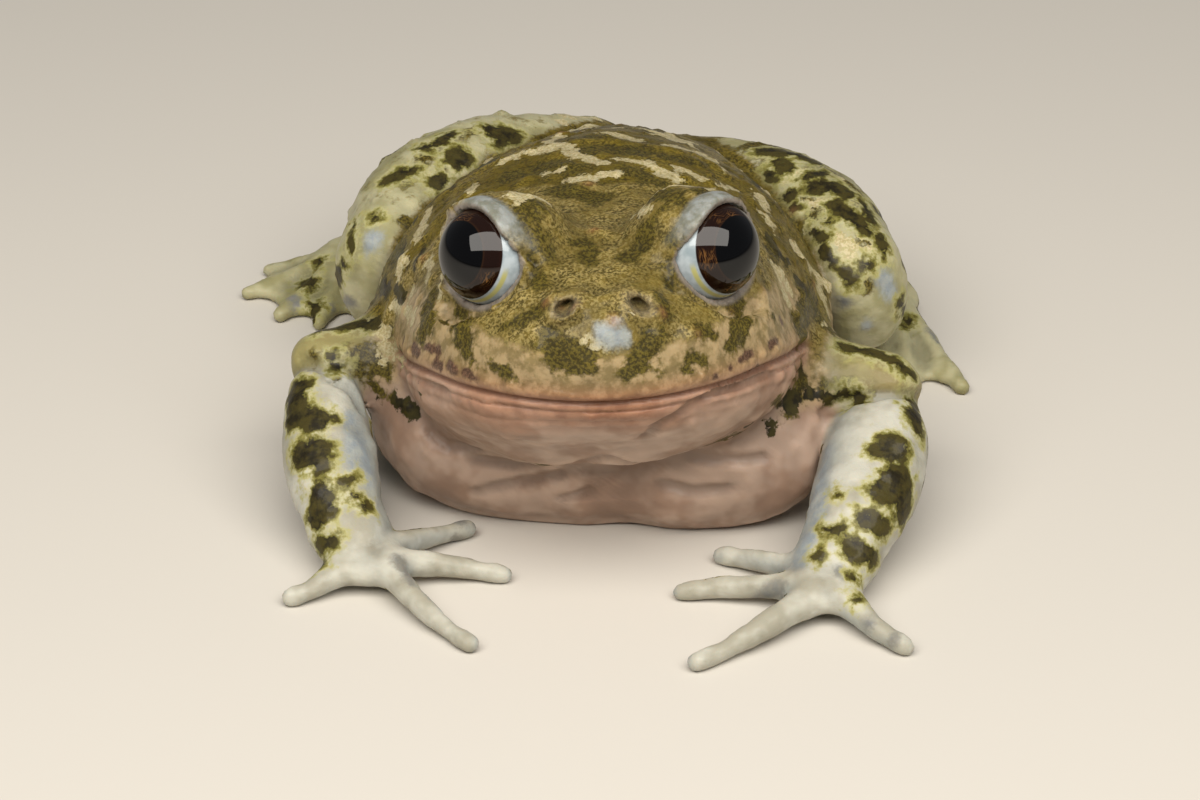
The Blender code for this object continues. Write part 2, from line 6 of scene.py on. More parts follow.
import bmesh
import bpy
import numpy as np
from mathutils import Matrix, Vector


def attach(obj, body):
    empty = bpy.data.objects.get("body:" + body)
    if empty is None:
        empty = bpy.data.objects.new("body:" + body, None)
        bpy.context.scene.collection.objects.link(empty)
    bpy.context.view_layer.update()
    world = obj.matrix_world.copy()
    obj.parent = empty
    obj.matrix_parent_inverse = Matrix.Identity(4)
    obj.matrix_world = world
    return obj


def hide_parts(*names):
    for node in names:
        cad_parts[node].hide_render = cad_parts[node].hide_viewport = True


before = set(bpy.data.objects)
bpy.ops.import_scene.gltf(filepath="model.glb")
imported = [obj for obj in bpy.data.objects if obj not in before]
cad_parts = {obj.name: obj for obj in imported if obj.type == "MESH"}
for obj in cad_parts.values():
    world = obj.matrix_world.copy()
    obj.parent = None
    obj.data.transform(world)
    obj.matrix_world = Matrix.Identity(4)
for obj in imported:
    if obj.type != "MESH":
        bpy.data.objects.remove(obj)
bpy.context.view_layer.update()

mm = 0.001
animalShift = np.array((0.1, -8.6, 0.0))
sideSigns = {"left": 1.0, "right": -1.0}
snoutVent = 75.0
bodyYaw = math.radians(6.0)


# Small numpy tools

def smoothStep(low, high, value):
    # 3t^2 - 2t^3 of the share t that value has gone from low to high
    t = np.clip((value - low) / (high - low), 0.0, 1.0)
    return t * t * (3.0 - 2.0 * t)


def bell(value, width):
    # exp(-(value / width)^2)
    return np.exp(-((value / width) ** 2))


def merge(a, b, reach):
    # the smaller of two distances, rounded where they come within reach of each other
    h = np.clip(0.5 + 0.5 * (b - a) / reach, 0.0, 1.0)
    return b + (a - b) * h - reach * h * (1.0 - h)


def carve(a, b, reach):
    # form a without form b, with a rounded edge
    return -merge(-a, b, reach)


def curveThrough(rows, count):
    # Catmull-Rom curve through the rows, read at even steps
    rows = np.asarray(rows, float)
    padded = np.vstack([2 * rows[0] - rows[1], rows, 2 * rows[-1] - rows[-2]])
    steps = np.linspace(0.0, len(rows) - 1.000001, count)
    first = steps.astype(int)
    t = (steps - first)[:, None]
    a, b, c, d = (padded[first + k] for k in range(4))
    return 0.5 * (2 * b + (c - a) * t + (2 * a - 5 * b + 4 * c - d) * t**2 + (3 * b - a - 3 * c + d) * t**3)


def ripple(points, wavelength, seed, count=14):
    # sum of sine waves in seeded directions, about -1 to 1, each with a wavelength near the given one
    draw = np.random.default_rng(seed)
    ways = draw.normal(size=(count, 3))
    ways /= np.linalg.norm(ways, axis=1)[:, None]
    waves = 2 * math.pi / (wavelength * draw.uniform(0.7, 1.5, count))
    phases = draw.uniform(0, 2 * math.pi, count)
    return np.sin(points @ (ways * waves[:, None]).T + phases).sum(axis=1) / math.sqrt(count)


def unit(vector):
    vector = np.asarray(vector, float)
    return vector / np.linalg.norm(vector)


# Head and torso: superellipse sections along an axis

poleSize = 0.02  # half size in mm of the section that closes an end
headShape = {
    "length": 0.284 * snoutVent,  # jaw corner to snout tip
    "halfWidth": 0.209 * snoutVent,
    "pitch": math.radians(18.0),  # snout raised above level
    "roll": math.radians(-1.5),
    "jawHeight": 13.4,
    "fullness": 2.15,  # power of the superellipse, where 2 is a plain ellipse
    # share of length, share of half width, top, bottom and widest level in mm
    "sections": (
        (1.020, 0.13, 4.6, 1.0, 2.8),
        (0.995, 0.27, 5.9, -0.6, 2.2),
        (0.930, 0.45, 7.0, -2.4, 1.2),
        (0.800, 0.66, 8.1, -4.7, 0.2),
        (0.620, 0.83, 9.3, -6.6, -0.4),
        (0.420, 0.94, 10.5, -8.4, -0.6),
        (0.210, 0.99, 11.6, -9.6, -0.6),
        (0.000, 1.00, 12.2, -10.2, -0.6),
        (-0.200, 0.97, 12.2, -10.0, -0.6),
        (-0.380, 0.84, 10.8, -8.6, -0.6),
        (-0.500, 0.55, 7.4, -6.0, -0.3),
    ),
    "tip": (1.032, 2.8),
    "back": (-0.54, 0.3),
}
torsoShape = {
    "fullness": 1.95,
    "lowFullness": (2.25, 2.9),  # below the widest level, behind and at the chest
    "widest": 0.42,  # height of the widest level, as a share of the section
    "shift": (-0.6, 0.5),  # how far the sections lie to the animal's left, behind and at the chest
    # distance behind the jaw corners, half width, bottom and top above the floor in mm
    "sections": (
        (-9.6, 6.5, 3.4, 9.0),
        (-8.4, 12.2, 1.4, 11.2),
        (-6.5, 15.8, -0.4, 13.8),
        (-4.2, 17.6, -1.0, 16.4),
        (-1.6, 18.7, -1.0, 18.9),
        (3.0, 18.9, -1.0, 23.2),
        (9.0, 18.8, -1.0, 24.6),
        (15.0, 17.4, -1.0, 23.8),
        (22.0, 14.8, -1.0, 21.2),
        (29.0, 12.4, -0.9, 17.6),
        (35.0, 10.2, -0.5, 14.3),
        (40.0, 8.6, 0.4, 11.5),
        (43.5, 6.6, 1.6, 9.6),
        (45.6, 3.9, 3.4, 7.6),
    ),
    "front": (-10.2, 6.0),
    "back": (46.6, 5.6),
}
foldShape = {
    "nape": 3.5,  # how softly the head runs into the back, and the throat into the chest
    "throat": 0.8,
    "mound": 1.8,
    # rounding at a hinge and where a limb only lies against its neighbour, and the distances from the hinge
    # between which it changes
    "shoulder": (2.2, 0.45, 5.0, 9.0),
    "hip": (1.5, 0.8, 7.0, 13.0),
    "knee": (1.8, 0.45, 3.0, 7.0),
    "heel": (1.4, 0.45, 3.0, 6.0),
    "blur": 4,
    "deep": 0.012,  # mean rise of the neighbours in mm that counts as a full fold
}


def headAxes():
    # rows: across to the animal's left, forward out of the snout, up out of the crown
    pitch, roll = headShape["pitch"], headShape["roll"]
    return np.array((
        (math.cos(roll), 0.0, -math.sin(roll)),
        (math.sin(pitch) * math.sin(roll), -math.cos(pitch), math.sin(pitch) * math.cos(roll)),
        (math.cos(pitch) * math.sin(roll), math.sin(pitch), math.cos(pitch) * math.cos(roll)),
    ))


def toHead(points):
    return (points - (0.0, 0.0, headShape["jawHeight"])) @ headAxes().T


def fromHead(across, forward, up):
    return np.array((across, forward, up)) @ headAxes() + (0.0, 0.0, headShape["jawHeight"])


def headTable():
    scale = np.array((headShape["length"], headShape["halfWidth"], 1.0, 1.0, 1.0))
    rows = curveThrough(np.array(headShape["sections"]) * scale, 200)
    poles = [(share * headShape["length"], up) for share, up in (headShape["tip"], headShape["back"])]
    ends = [(along, poleSize, up + poleSize, up - poleSize, up) for along, up in poles]
    return np.vstack([ends[0], rows, ends[1]])[::-1]


def torsoTable():
    rows = curveThrough(torsoShape["sections"], 200)
    level = rows[:, 2] + torsoShape["widest"] * (rows[:, 3] - rows[:, 2])
    rows = np.column_stack((rows[:, 0], rows[:, 1], rows[:, 3], rows[:, 2], level))
    poles = (torsoShape["front"], torsoShape["back"])
    ends = [(along, poleSize, up + poleSize, up - poleSize, up) for along, up in poles]
    return np.vstack([ends[0], rows, ends[1]])


def sectionDistance(local, table, above, below):
    # q = ((|across| / half width)^n + (|up - level| / rise or drop)^n)^(1/n) - 1, divided by its own slope
    def q(across, along, up):
        halfWidth, top, bottom, level = (np.interp(along, table[:, 0], table[:, k]) for k in (1, 2, 3, 4))
        height = np.where(up > level, top - level, level - bottom)
        power = np.where(up > level, above, below)
        side, lift = np.abs(across) / halfWidth, np.abs(up - level) / height
        return (side**power + lift**power) ** (1 / power) - 1.0

    step = 0.05
    here = q(*local.T)
    slope = np.sqrt(sum((q(*(local + step * way).T) - here) ** 2 for way in np.eye(3))) / step
    distance = here / np.maximum(slope, 0.02)
    # near the two poles the slope says too little, so a point well outside keeps part of its way in
    level = np.interp(local[:, 1], table[:, 0], table[:, 4])
    radial = np.hypot(local[:, 0], local[:, 2] - level) * here / np.maximum(1.0 + here, 0.1)
    ends = np.maximum(local[:, 1] - table[-1, 0], table[0, 0] - local[:, 1])
    return np.maximum(np.maximum(distance, 0.4 * (radial - 1.2)), ends)


def headDistance(points):
    return sectionDistance(toHead(points), headTable(), headShape["fullness"], headShape["fullness"])


def torsoDistance(points):
    across = points[:, 0] * math.cos(bodyYaw) - points[:, 1] * math.sin(bodyYaw)
    back = points[:, 0] * math.sin(bodyYaw) + points[:, 1] * math.cos(bodyYaw)
    behind, chest = torsoShape["shift"]
    across = across - behind - (chest - behind) * smoothStep(3.0, -6.0, back)
    behind, chest = torsoShape["lowFullness"]
    below = behind + (chest - behind) * smoothStep(8.0, -3.0, back)
    local = np.column_stack((across, back, points[:, 2]))
    return sectionDistance(local, torsoTable(), torsoShape["fullness"], below)


# Limbs: chains of tapered oval tubes. Each joint is x, y, z, half width and half height.

armShape = {
    "upper": {
        "left": ((11.0, 4.5, 9.8, 4.3, 4.3), (17.2, 0.4, 9.4, 3.7, 3.7), (22.6, -1.2, 9.3, 3.1, 3.1)),
        "right": ((-10.0, 6.5, 9.8, 4.3, 4.3), (-16.0, 3.8, 9.9, 3.6, 3.6), (-22.2, 1.8, 10.0, 2.8, 2.8)),
    },
    "fore": {
        "left": (
            (22.6, -4.0, 7.5, 3.1, 3.1),
            (22.0, -6.6, 6.8, 4.0, 3.7),
            (20.9, -11.0, 5.2, 4.1, 3.3),
            (18.8, -15.8, 3.1, 3.2, 2.2),
        ),
        "right": (
            (-22.3, -1.6, 8.5, 2.9, 2.9),
            (-21.9, -4.2, 7.3, 3.5, 3.4),
            (-21.2, -8.4, 5.2, 3.6, 3.1),
            (-19.8, -12.6, 3.1, 2.9, 2.2),
        ),
    },
    "palm": {
        "left": ((18.5, -16.0, 2.6, 2.9, 1.9), (17.3, -19.2, 1.8, 3.0, 1.5)),
        "right": ((-19.6, -12.8, 2.6, 2.8, 1.9), (-18.7, -15.3, 1.8, 2.8, 1.5)),
    },
    # fingers from the inner one out: root and tip on the ground plan
    "fingers": {
        "left": (
            ((15.9, -17.4), (9.6, -12.6)),
            ((15.7, -19.4), (6.4, -17.9)),
            ((16.4, -20.4), (7.4, -28.0)),
            ((18.6, -20.0), (23.4, -25.8)),
        ),
        "right": (
            ((-16.6, -14.2), (-10.6, -8.6)),
            ((-16.2, -16.0), (-7.6, -15.4)),
            ((-16.7, -16.4), (-10.0, -25.4)),
            ((-19.6, -15.6), (-24.1, -18.8)),
        ),
    },
    # share of the finger, radius and height of its middle
    "fingerProfile": (
        (0.0, 1.26, 1.9),
        (0.22, 1.1, 1.7),
        (0.42, 0.96, 1.44),
        (0.62, 0.82, 1.12),
        (0.80, 0.7, 0.84),
        (0.92, 0.78, 0.74),
        (1.0, 0.68, 0.62),
    ),
    "sway": 0.5,  # how far a finger bows sideways at its middle
}
legShape = {
    "thigh": {
        "left": (
            (4.8, 34.6, 7.6, 5.6, 5.8),
            (13.0, 29.0, 9.5, 6.0, 5.9),
            (17.8, 23.6, 10.2, 5.7, 5.7),
            (20.9, 16.8, 9.8, 4.6, 4.9),
        ),
        "right": (
            (-1.0, 36.4, 8.2, 5.6, 5.8),
            (-8.4, 32.2, 10.4, 6.1, 6.1),
            (-14.2, 26.4, 11.0, 5.8, 5.9),
            (-17.4, 19.6, 10.2, 4.6, 5.0),
        ),
    },
    "shank": {
        "left": (
            (22.0, 16.4, 7.6, 3.3, 4.2),
            (22.2, 23.5, 6.0, 3.6, 4.4),
            (19.2, 32.0, 4.2, 3.2, 3.5),
            (14.4, 39.5, 3.0, 2.6, 2.7),
        ),
        "right": (
            (-18.6, 19.6, 8.0, 3.3, 4.2),
            (-18.4, 26.5, 6.2, 3.6, 4.4),
            (-14.4, 34.8, 4.4, 3.2, 3.5),
            (-8.6, 41.0, 3.0, 2.6, 2.7),
        ),
    },
    "tarsus": {
        "left": ((15.2, 40.4, 2.4, 2.3, 2.4), (21.0, 34.8, 2.1, 2.3, 2.2), (24.8, 27.6, 1.6, 2.6, 1.7)),
        "right": ((-9.0, 42.4, 2.4, 2.3, 2.4), (-16.0, 39.8, 2.1, 2.3, 2.2), (-22.0, 35.8, 1.6, 2.6, 1.7)),
    },
    "toes": {
        "left": ((22.4, 21.6), (23.8, 17.6), (26.4, 14.4), (30.4, 14.2), (28.6, 20.0)),
        "right": ((-21.4, 28.0), (-24.2, 25.4), (-27.6, 26.8), (-30.6, 30.8), (-29.0, 35.0)),
    },
    "toeProfile": (
        (0.0, 1.25, 1.5),
        (0.3, 1.05, 1.3),
        (0.6, 0.85, 0.95),
        (0.85, 0.72, 0.68),
        (1.0, 0.6, 0.52),
    ),
    # share of the toe's length that the web follows, at a toe and half way between two
    "webReach": (0.92, 0.82),
    "webRays": 5,
    "webRadius": 0.5,
    "webHeight": 0.55,
}


def tubeDistance(points, track):
    # distance to each tapered piece of the chain, with the height of its oval measured straight up
    best = np.full(len(points), 99.0)
    for a, b in zip(track[:-1], track[1:]):
        axis = b[:3] - a[:3]
        t = np.clip((points - a[:3]) @ axis / (axis @ axis), 0.0, 1.0)[:, None]
        offset = points - a[:3] - t * axis
        half = a[3:] + t * (b[3:] - a[3:])
        ratio = half[:, 0] / half[:, 1]
        reach = np.sqrt(offset[:, 0] ** 2 + offset[:, 1] ** 2 + (offset[:, 2] * ratio) ** 2)
        best = np.minimum(best, (reach - half[:, 0]) / np.maximum(ratio, 1.0))
    return best


def joinIn(field, points, track, reach, margin=3.5):
    # adds a chain to the field, only for the points near it
    track = np.asarray(track, float)
    wide = track[:, 3:].max() + margin
    low, high = track[:, :3].min(axis=0) - wide, track[:, :3].max(axis=0) + wide
    here = np.flatnonzero(((points > low) & (points < high)).all(axis=1))
    if len(here):
        near = points[here]
        radius = reach(near) if callable(reach) else reach
        field[here] = merge(field[here], tubeDistance(near, track), radius)


def digitTrack(root, tip, profile, sway):
    # a finger or toe: a chain that leaves the palm raised, bows a little and comes down on its tip
    root, tip = np.array(root), np.array(tip)
    along = tip - root
    across = unit((-along[1], along[0]))
    rows = []
    for share, radius, height in profile:
        flat = root + along * share + across * sway * math.sin(math.pi * share)
        rows.append((*flat, height, radius, radius))
    return curveThrough(rows, 14)


def armDistance(points, side):
    field = np.full(len(points), 99.0)
    joinIn(field, points, curveThrough(armShape["upper"][side], 12), 1.0, 12.0)
    joinIn(field, points, curveThrough(armShape["fore"][side], 24), 0.5, 8.0)
    joinIn(field, points, curveThrough(armShape["palm"][side], 5), 1.2)
    bow = armShape["sway"] * sideSigns[side]
    for number, (root, tip) in enumerate(armShape["fingers"][side]):
        sway = bow if number == 2 else -bow
        joinIn(field, points, digitTrack(root, tip, armShape["fingerProfile"], sway), 0.8, 2.5)
    return field


def footDistance(points, side):
    field = np.full(len(points), 99.0)
    joinIn(field, points, curveThrough(legShape["tarsus"][side], 8), 1.0, 8.0)
    root = np.array(legShape["tarsus"][side][-1][:2])
    tips = [np.array(tip) for tip in legShape["toes"][side]]
    for tip in tips:
        joinIn(field, points, digitTrack(root, tip, legShape["toeProfile"], 0.2), 0.7, 2.5)
    atToe, between = legShape["webReach"]
    thin = (legShape["webHeight"], legShape["webRadius"], legShape["webRadius"])
    for first, second in zip(tips[:-1], tips[1:]):
        for share in np.linspace(0.0, 1.0, legShape["webRays"] + 2)[1:-1]:
            reach = atToe + (between - atToe) * math.sin(math.pi * share)
            end = root + (first + (second - first) * share - root) * reach
            joinIn(field, points, ((*root, *thin), (*end, *thin)), 0.6, 2.0)
    return field


def hinged(hinge, joint):
    # the rounding of a join: soft at its hinge, tight where two forms only touch
    near, far, start, end = foldShape[joint]

    def reach(points):
        away = np.linalg.norm(points - np.array(hinge[:3]), axis=1)
        return near + (far - near) * smoothStep(start, end, away)

    return reach


# Eyes and lids, nostrils and the mouth's line

eyeShape = {
    "radius": 0.0535 * snoutVent,
    # across, forward and up in the head's directions
    "places": {"left": (8.6, 11.3, 9.0), "right": (8.1, 11.3, 9.0)},
    "turn": math.radians(50.0),  # from straight ahead out to the side
    "lift": math.radians(20.0),
    "moundRadius": 1.25,  # in eye radii
    "moundSink": 0.42,
    "clearance": 0.06,
    "cornea": 0.04,  # how far the cornea stands out, as a share of the radius
}
lidShape = {
    # angle round the eye's axis from its top towards the snout, angle from the axis to the lid's edge,
    # and the lid's thickness
    "edge": (
        (-180, 74, 0.30),
        (-120, 71, 0.32),
        (-85, 69, 0.38),
        (-52, 61, 0.52),
        (-24, 56, 0.68),
        (10, 55, 0.8),
        (38, 57, 0.74),
        (50, 61, 0.58),
        (60, 67, 0.44),
        (70, 75, 0.36),
        (80, 81, 0.33),
        (91, 82, 0.3),
        (110, 78, 0.3),
        (140, 74, 0.3),
        (180, 74, 0.30),
    ),
    "round": 0.28,
    "band": 24.0,  # degrees from the lid's edge to the groove behind it
    "groove": 0.22,
    "bag": 0.12,  # rise of the fold below the eye
    "lip": 9.0,  # degrees that the lid's rim stands clear of the eyeball
}
mouthShape = {
    # share of head length and height of the mouth's line in the head's directions
    "line": ((-0.05, -0.85), (0.15, -0.45), (0.56, 0.1), (0.80, -0.2), (0.94, -0.65), (1.05, -1.45)),
    # height from the line, width and depth of each ridge and groove in mm, ridges negative
    "folds": (
        (0.0, 0.22, 0.3),
        (0.9, 0.6, -0.16),
        (-0.42, 0.26, -0.14),
        (-0.85, 0.22, 0.14),
        (-1.95, 0.26, 0.12),
    ),
    # the same for the folds that only the jaw's middle has
    "gular": ((-2.8, 0.3, 0.1), (-4.2, 0.4, 0.06)),
}
nostrilShape = {
    "middle": 0.45,
    "place": (2.8, 19.5, 6.35),
    "size": (0.78, 0.4),
    "tilt": math.radians(24.0),
    "depth": 0.9,
    "rim": 0.3,
}


def eyeFrame(side):
    # the eyeball's centre, its axis, the way up from the axis and the way from the axis to the snout
    sign = sideSigns[side]
    across, forward, up = eyeShape["places"][side]
    centre = fromHead(sign * across, forward, up)
    turn, lift = eyeShape["turn"], eyeShape["lift"]
    flat = math.cos(lift)
    axis = np.array((sign * math.sin(turn) * flat, -math.cos(turn) * flat, math.sin(lift)))
    rise = unit(np.array((0.0, 0.0, 1.0)) - axis[2] * axis)
    return centre, axis, rise, sign * np.cross(axis, rise)


def aroundEye(points, side):
    # distance from the eyeball's centre, angle from its axis and angle round it, in mm and degrees
    centre, axis, rise, inner = eyeFrame(side)
    offset = points - centre
    away = np.linalg.norm(offset, axis=1)
    polar = np.degrees(np.arccos(np.clip(offset @ axis / np.maximum(away, 1e-6), -1.0, 1.0)))
    return away, polar, np.degrees(np.arctan2(offset @ inner, offset @ rise))


def lidEdge(around):
    # the lid's edge angle and thickness at each angle round the eye, as a smooth closed curve
    rows = np.array(lidShape["edge"], float)
    looped = curveThrough(np.vstack([rows[-2] - (360, 0, 0), rows, rows[1] + (360, 0, 0)]), 400)
    return np.interp(around, looped[:, 0], looped[:, 1]), np.interp(around, looped[:, 0], looped[:, 2])


def mouthLevel(local):
    # height above the mouth's line in the head's directions
    line = curveThrough(mouthShape["line"], 60)
    return local[:, 2] - np.interp(local[:, 1] / headShape["length"], line[:, 0], line[:, 1])


def nostrilRings(local):
    # distance from each nostril's middle in its own oval's half widths
    across, forward, up = nostrilShape["place"]
    long, short = nostrilShape["size"]
    cosTilt, sinTilt = math.cos(nostrilShape["tilt"]), math.sin(nostrilShape["tilt"])
    rings = []
    for sign in (1.0, -1.0):
        side, ahead, rise = (local - (nostrilShape["middle"] + sign * across, forward, up)).T
        outward = side * sign
        a, b = outward * cosTilt - rise * sinTilt, outward * sinTilt + rise * cosTilt
        rings.append(np.sqrt((a / long) ** 2 + (b / short) ** 2 + (ahead / 1.6) ** 2))
    return rings


def faceRelief(points):
    # lips, the mouth's groove, the folds under it and the nostrils, as mm pressed into the surface
    local = toHead(points)
    level = mouthLevel(local)
    onJaw = smoothStep(-2.5, 1.5, local[:, 1])
    depth = sum(sink * bell(level - height, width) for height, width, sink in mouthShape["folds"]) * onJaw
    middle = smoothStep(13.0, 18.0, local[:, 1])
    depth += sum(sink * bell(level - height, width) for height, width, sink in mouthShape["gular"]) * middle
    for ring in nostrilRings(local):
        depth += nostrilShape["depth"] * np.exp(-ring**4)
        depth -= nostrilShape["rim"] * bell(ring - 1.85, 0.8)
    return depth


def ownHead(torso, head):
    # 1 on the head and 0 where the shoulder covers it
    return smoothStep(-1.4, 0.6, torso - head)


def bodyField(points):
    # signed distance to the whole skin in mm, negative inside
    field = np.minimum(torsoDistance(points), 9.0)
    here = np.flatnonzero(points[:, 1] < 14.0)
    above, below = foldShape["nape"], foldShape["throat"]
    softness = below + (above - below) * smoothStep(10.0, 17.0, points[here, 2])
    head = headDistance(points[here])
    relief = faceRelief(points[here]) * ownHead(field[here], head)
    field[here] = merge(field[here], head, softness) + relief
    radius = eyeShape["radius"]
    for side in sideSigns:
        centre, axis, rise, inner = eyeFrame(side)
        low = centre - 2.4 * radius
        here = np.flatnonzero(((points > low) & (points < low + 4.8 * radius)).all(axis=1))
        middle = centre - axis * eyeShape["moundSink"] * radius
        mound = np.linalg.norm(points[here] - middle, axis=1) - eyeShape["moundRadius"] * radius
        field[here] = merge(field[here], mound, foldShape["mound"])
    for side, sign in sideSigns.items():
        onSide = np.flatnonzero((points[:, 0] * sign > -9.0) & (field > -6.0))
        near, inside = points[onSide], field[onSide]
        thigh, shank, tarsus = (legShape[part][side] for part in ("thigh", "shank", "tarsus"))
        joinIn(inside, near, curveThrough(thigh, 20), hinged(thigh[1], "hip"))
        joinIn(inside, near, curveThrough(shank, 20), hinged(shank[0], "knee"))
        foot = np.flatnonzero((near[:, 1] > 11.0) & (near[:, 2] < 7.5))
        reach = hinged(tarsus[0], "heel")(near[foot])
        inside[foot] = merge(inside[foot], footDistance(near[foot], side), reach)
        arm = np.flatnonzero((near[:, 1] < 15.0) & (near[:, 2] < 18.0))
        reach = hinged(armShape["upper"][side][1], "shoulder")(near[arm])
        inside[arm] = merge(inside[arm], armDistance(near[arm], side), reach)
        field[onSide] = inside
    for side in sideSigns:
        centre = eyeFrame(side)[0]
        low = centre - 2.2 * radius
        here = np.flatnonzero(((points > low) & (points < low + 4.4 * radius)).all(axis=1))
        away, polar, around = aroundEye(points[here], side)
        edge, thickness = lidEdge(around)
        opening = np.radians(edge - polar) * away  # above 0 inside the lids' opening
        shell = carve(away - radius - thickness, -opening, lidShape["round"])
        skin = merge(field[here], shell, 0.5)
        upper = bell(around - 8.0, 52.0)
        skin += lidShape["groove"] * upper * bell(polar - edge - lidShape["band"], 5.0)
        bag = bell(polar - edge - 12.0, 4.0) - 2.0 * bell(polar - edge - 24.0, 6.0)
        skin += lidShape["bag"] * bell(around - 115.0, 45.0) * bag
        window = np.maximum(away - 1.6 * radius, -opening)
        skin = carve(skin, window, 0.3)
        behind = np.radians(polar - edge - lidShape["lip"]) * away
        socket = np.maximum(away - radius - eyeShape["clearance"], behind)
        field[here] = carve(skin, socket, 0.12)
    return carve(field, points[:, 2], 0.3)


# The skin's mesh

netShape = {
    # start, end and step of each stretch of the grid in mm
    "x": ((-32.6, -17.8, 0.52), (-17.8, 17.8, 0.38), (17.8, 32.8, 0.52)),
    "y": ((-31.0, -23.6, 0.44), (-23.6, -4.0, 0.34), (-4.0, 12.0, 0.5), (12.0, 48.0, 0.72)),
    "z": ((-0.5, 5.0, 0.34), (5.0, 26.0, 0.3), (26.0, 31.5, 0.34)),
    "rounds": 3,
    "turns": 8,
    "crosswise": 0.5,  # cosine of the angle between a face and the skin round it
}


def gridLine(stretches):
    lines = [np.arange(start, end - 0.5 * step, step) for start, end, step in stretches]
    return np.append(np.concatenate(lines), stretches[-1][1])


def surfaceNet(axes, values):
    # one vertex in each cell that the surface crosses, at the middle of its crossings, and one quad round
    # each edge of the grid that it crosses
    counts = np.array(values.shape) - 1
    sums, hits, quads = np.zeros((counts.prod(), 3)), np.zeros(counts.prod()), []
    for axis in range(3):
        u, v = (axis + 1) % 3, (axis + 2) % 3
        low, high = [slice(None)] * 3, [slice(None)] * 3
        low[axis], high[axis] = slice(None, -1), slice(1, None)
        low, high = tuple(low), tuple(high)
        spots = np.argwhere((values[low] < 0) != (values[high] < 0))
        inner = np.ones(len(spots), bool)
        for way in (u, v):
            inner &= (spots[:, way] > 0) & (spots[:, way] < counts[way])
        spots = spots[inner]
        start, end = values[low][tuple(spots.T)], values[high][tuple(spots.T)]
        place = np.stack([axes[k][spots[:, k]] for k in range(3)], axis=1)
        line, first = axes[axis], spots[:, axis]
        place[:, axis] += start / (start - end) * (line[first + 1] - line[first])
        ring = []
        for du, dv in ((-1, -1), (0, -1), (0, 0), (-1, 0)):
            cell = spots.copy()
            cell[:, u] += du
            cell[:, v] += dv
            ring.append(np.ravel_multi_index(cell.T, counts))
        for cell in ring:
            hits += np.bincount(cell, minlength=len(hits))
            for k in range(3):
                sums[:, k] += np.bincount(cell, weights=place[:, k], minlength=len(hits))
        ring = np.stack(ring, axis=1)
        quads.append(np.where(start[:, None] < 0, ring, ring[:, ::-1]))
    quads = np.vstack(quads)
    used, flat = np.unique(quads, return_inverse=True)
    return sums[used] / hits[used, None], flat.reshape(quads.shape)


def slopeOf(points, step=0.06):
    # field value and gradient at each point
    here = bodyField(points)
    return here, np.stack([(bodyField(points + step * way) - here) / step for way in np.eye(3)], axis=1)


def drawOnto(points):
    # one Newton step towards the surface, of 0.3 mm at most
    here, slope = slopeOf(points)
    step = here[:, None] * slope / np.maximum((slope**2).sum(axis=1), 0.2)[:, None]
    return points - np.clip(step, -0.3, 0.3)


def neighbourMean(values, edges):
    # mean of the values at the vertices that share an edge with each vertex
    a, b = edges.T
    count = np.bincount(a, minlength=len(values)) + np.bincount(b, minlength=len(values))
    columns = []
    for column in values.reshape(len(values), -1).T:
        fromB = np.bincount(a, weights=column[b], minlength=len(values))
        columns.append(fromB + np.bincount(b, weights=column[a], minlength=len(values)))
    return np.stack(columns, axis=1).reshape(values.shape) / count.reshape(-1, *[1] * (values.ndim - 1))


def skinMesh():
    # the grid's net, evened out and drawn onto the exact surface a few times
    axes = [gridLine(netShape[name]) for name in "xyz"]
    values = np.empty([len(line) for line in axes])
    plan = np.stack(np.meshgrid(axes[1], axes[2], indexing="ij"), axis=-1).reshape(-1, 2)
    slab = 24
    for start in range(0, len(axes[0]), slab):
        xs = axes[0][start:start + slab]
        points = np.column_stack((np.repeat(xs, len(plan)), np.tile(plan, (len(xs), 1))))
        values[start:start + slab] = bodyField(points).reshape(len(xs), len(axes[1]), len(axes[2]))
    points, quads = surfaceNet(axes, values)
    print("skin net", len(points), "points", len(quads), "quads")
    edges = np.vstack([quads[:, [k, (k + 1) % 4]] for k in range(4)])
    for _ in range(netShape["rounds"]):
        points = drawOnto(0.45 * points + 0.55 * neighbourMean(points, edges))
    return points, quads


def addField(piece, name, values):
    attribute = piece.data.attributes.new(name, "FLOAT", "POINT")
    attribute.data.foreach_set("value", np.asarray(values, np.float32))


# Camera: 30 degrees above the animal's face, with the framing of a 1200 by 800 picture

cameraShape = {
    "aim": (0.0, 0.0, 7.6),
    "elevation": math.radians(30.0),
    "distance": 380.0,
    "pixels": 4712.0,  # focal length in pixels of a 1200 wide picture
    "width": 1200.0,
    "height": 800.0,
    "sensor": 36.0,
}


def addCamera():
    tilt = cameraShape["elevation"]
    back = Vector((0.0, -math.cos(tilt), math.sin(tilt)))
    aim = Vector((np.array(cameraShape["aim"]) + animalShift) * mm)
    data = bpy.data.cameras.new("camera")
    data.sensor_width = cameraShape["sensor"]
    data.lens = cameraShape["pixels"] / cameraShape["width"] * cameraShape["sensor"]
    data.clip_start, data.clip_end = 0.01, 10.0
    camera = bpy.data.objects.new("camera", data)
    camera.location = aim + back * cameraShape["distance"] * mm
    camera.rotation_mode = "QUATERNION"
    camera.rotation_quaternion = (-back).to_track_quat("-Z", "Y")
    bpy.context.scene.collection.objects.link(camera)
    bpy.context.scene.camera = camera


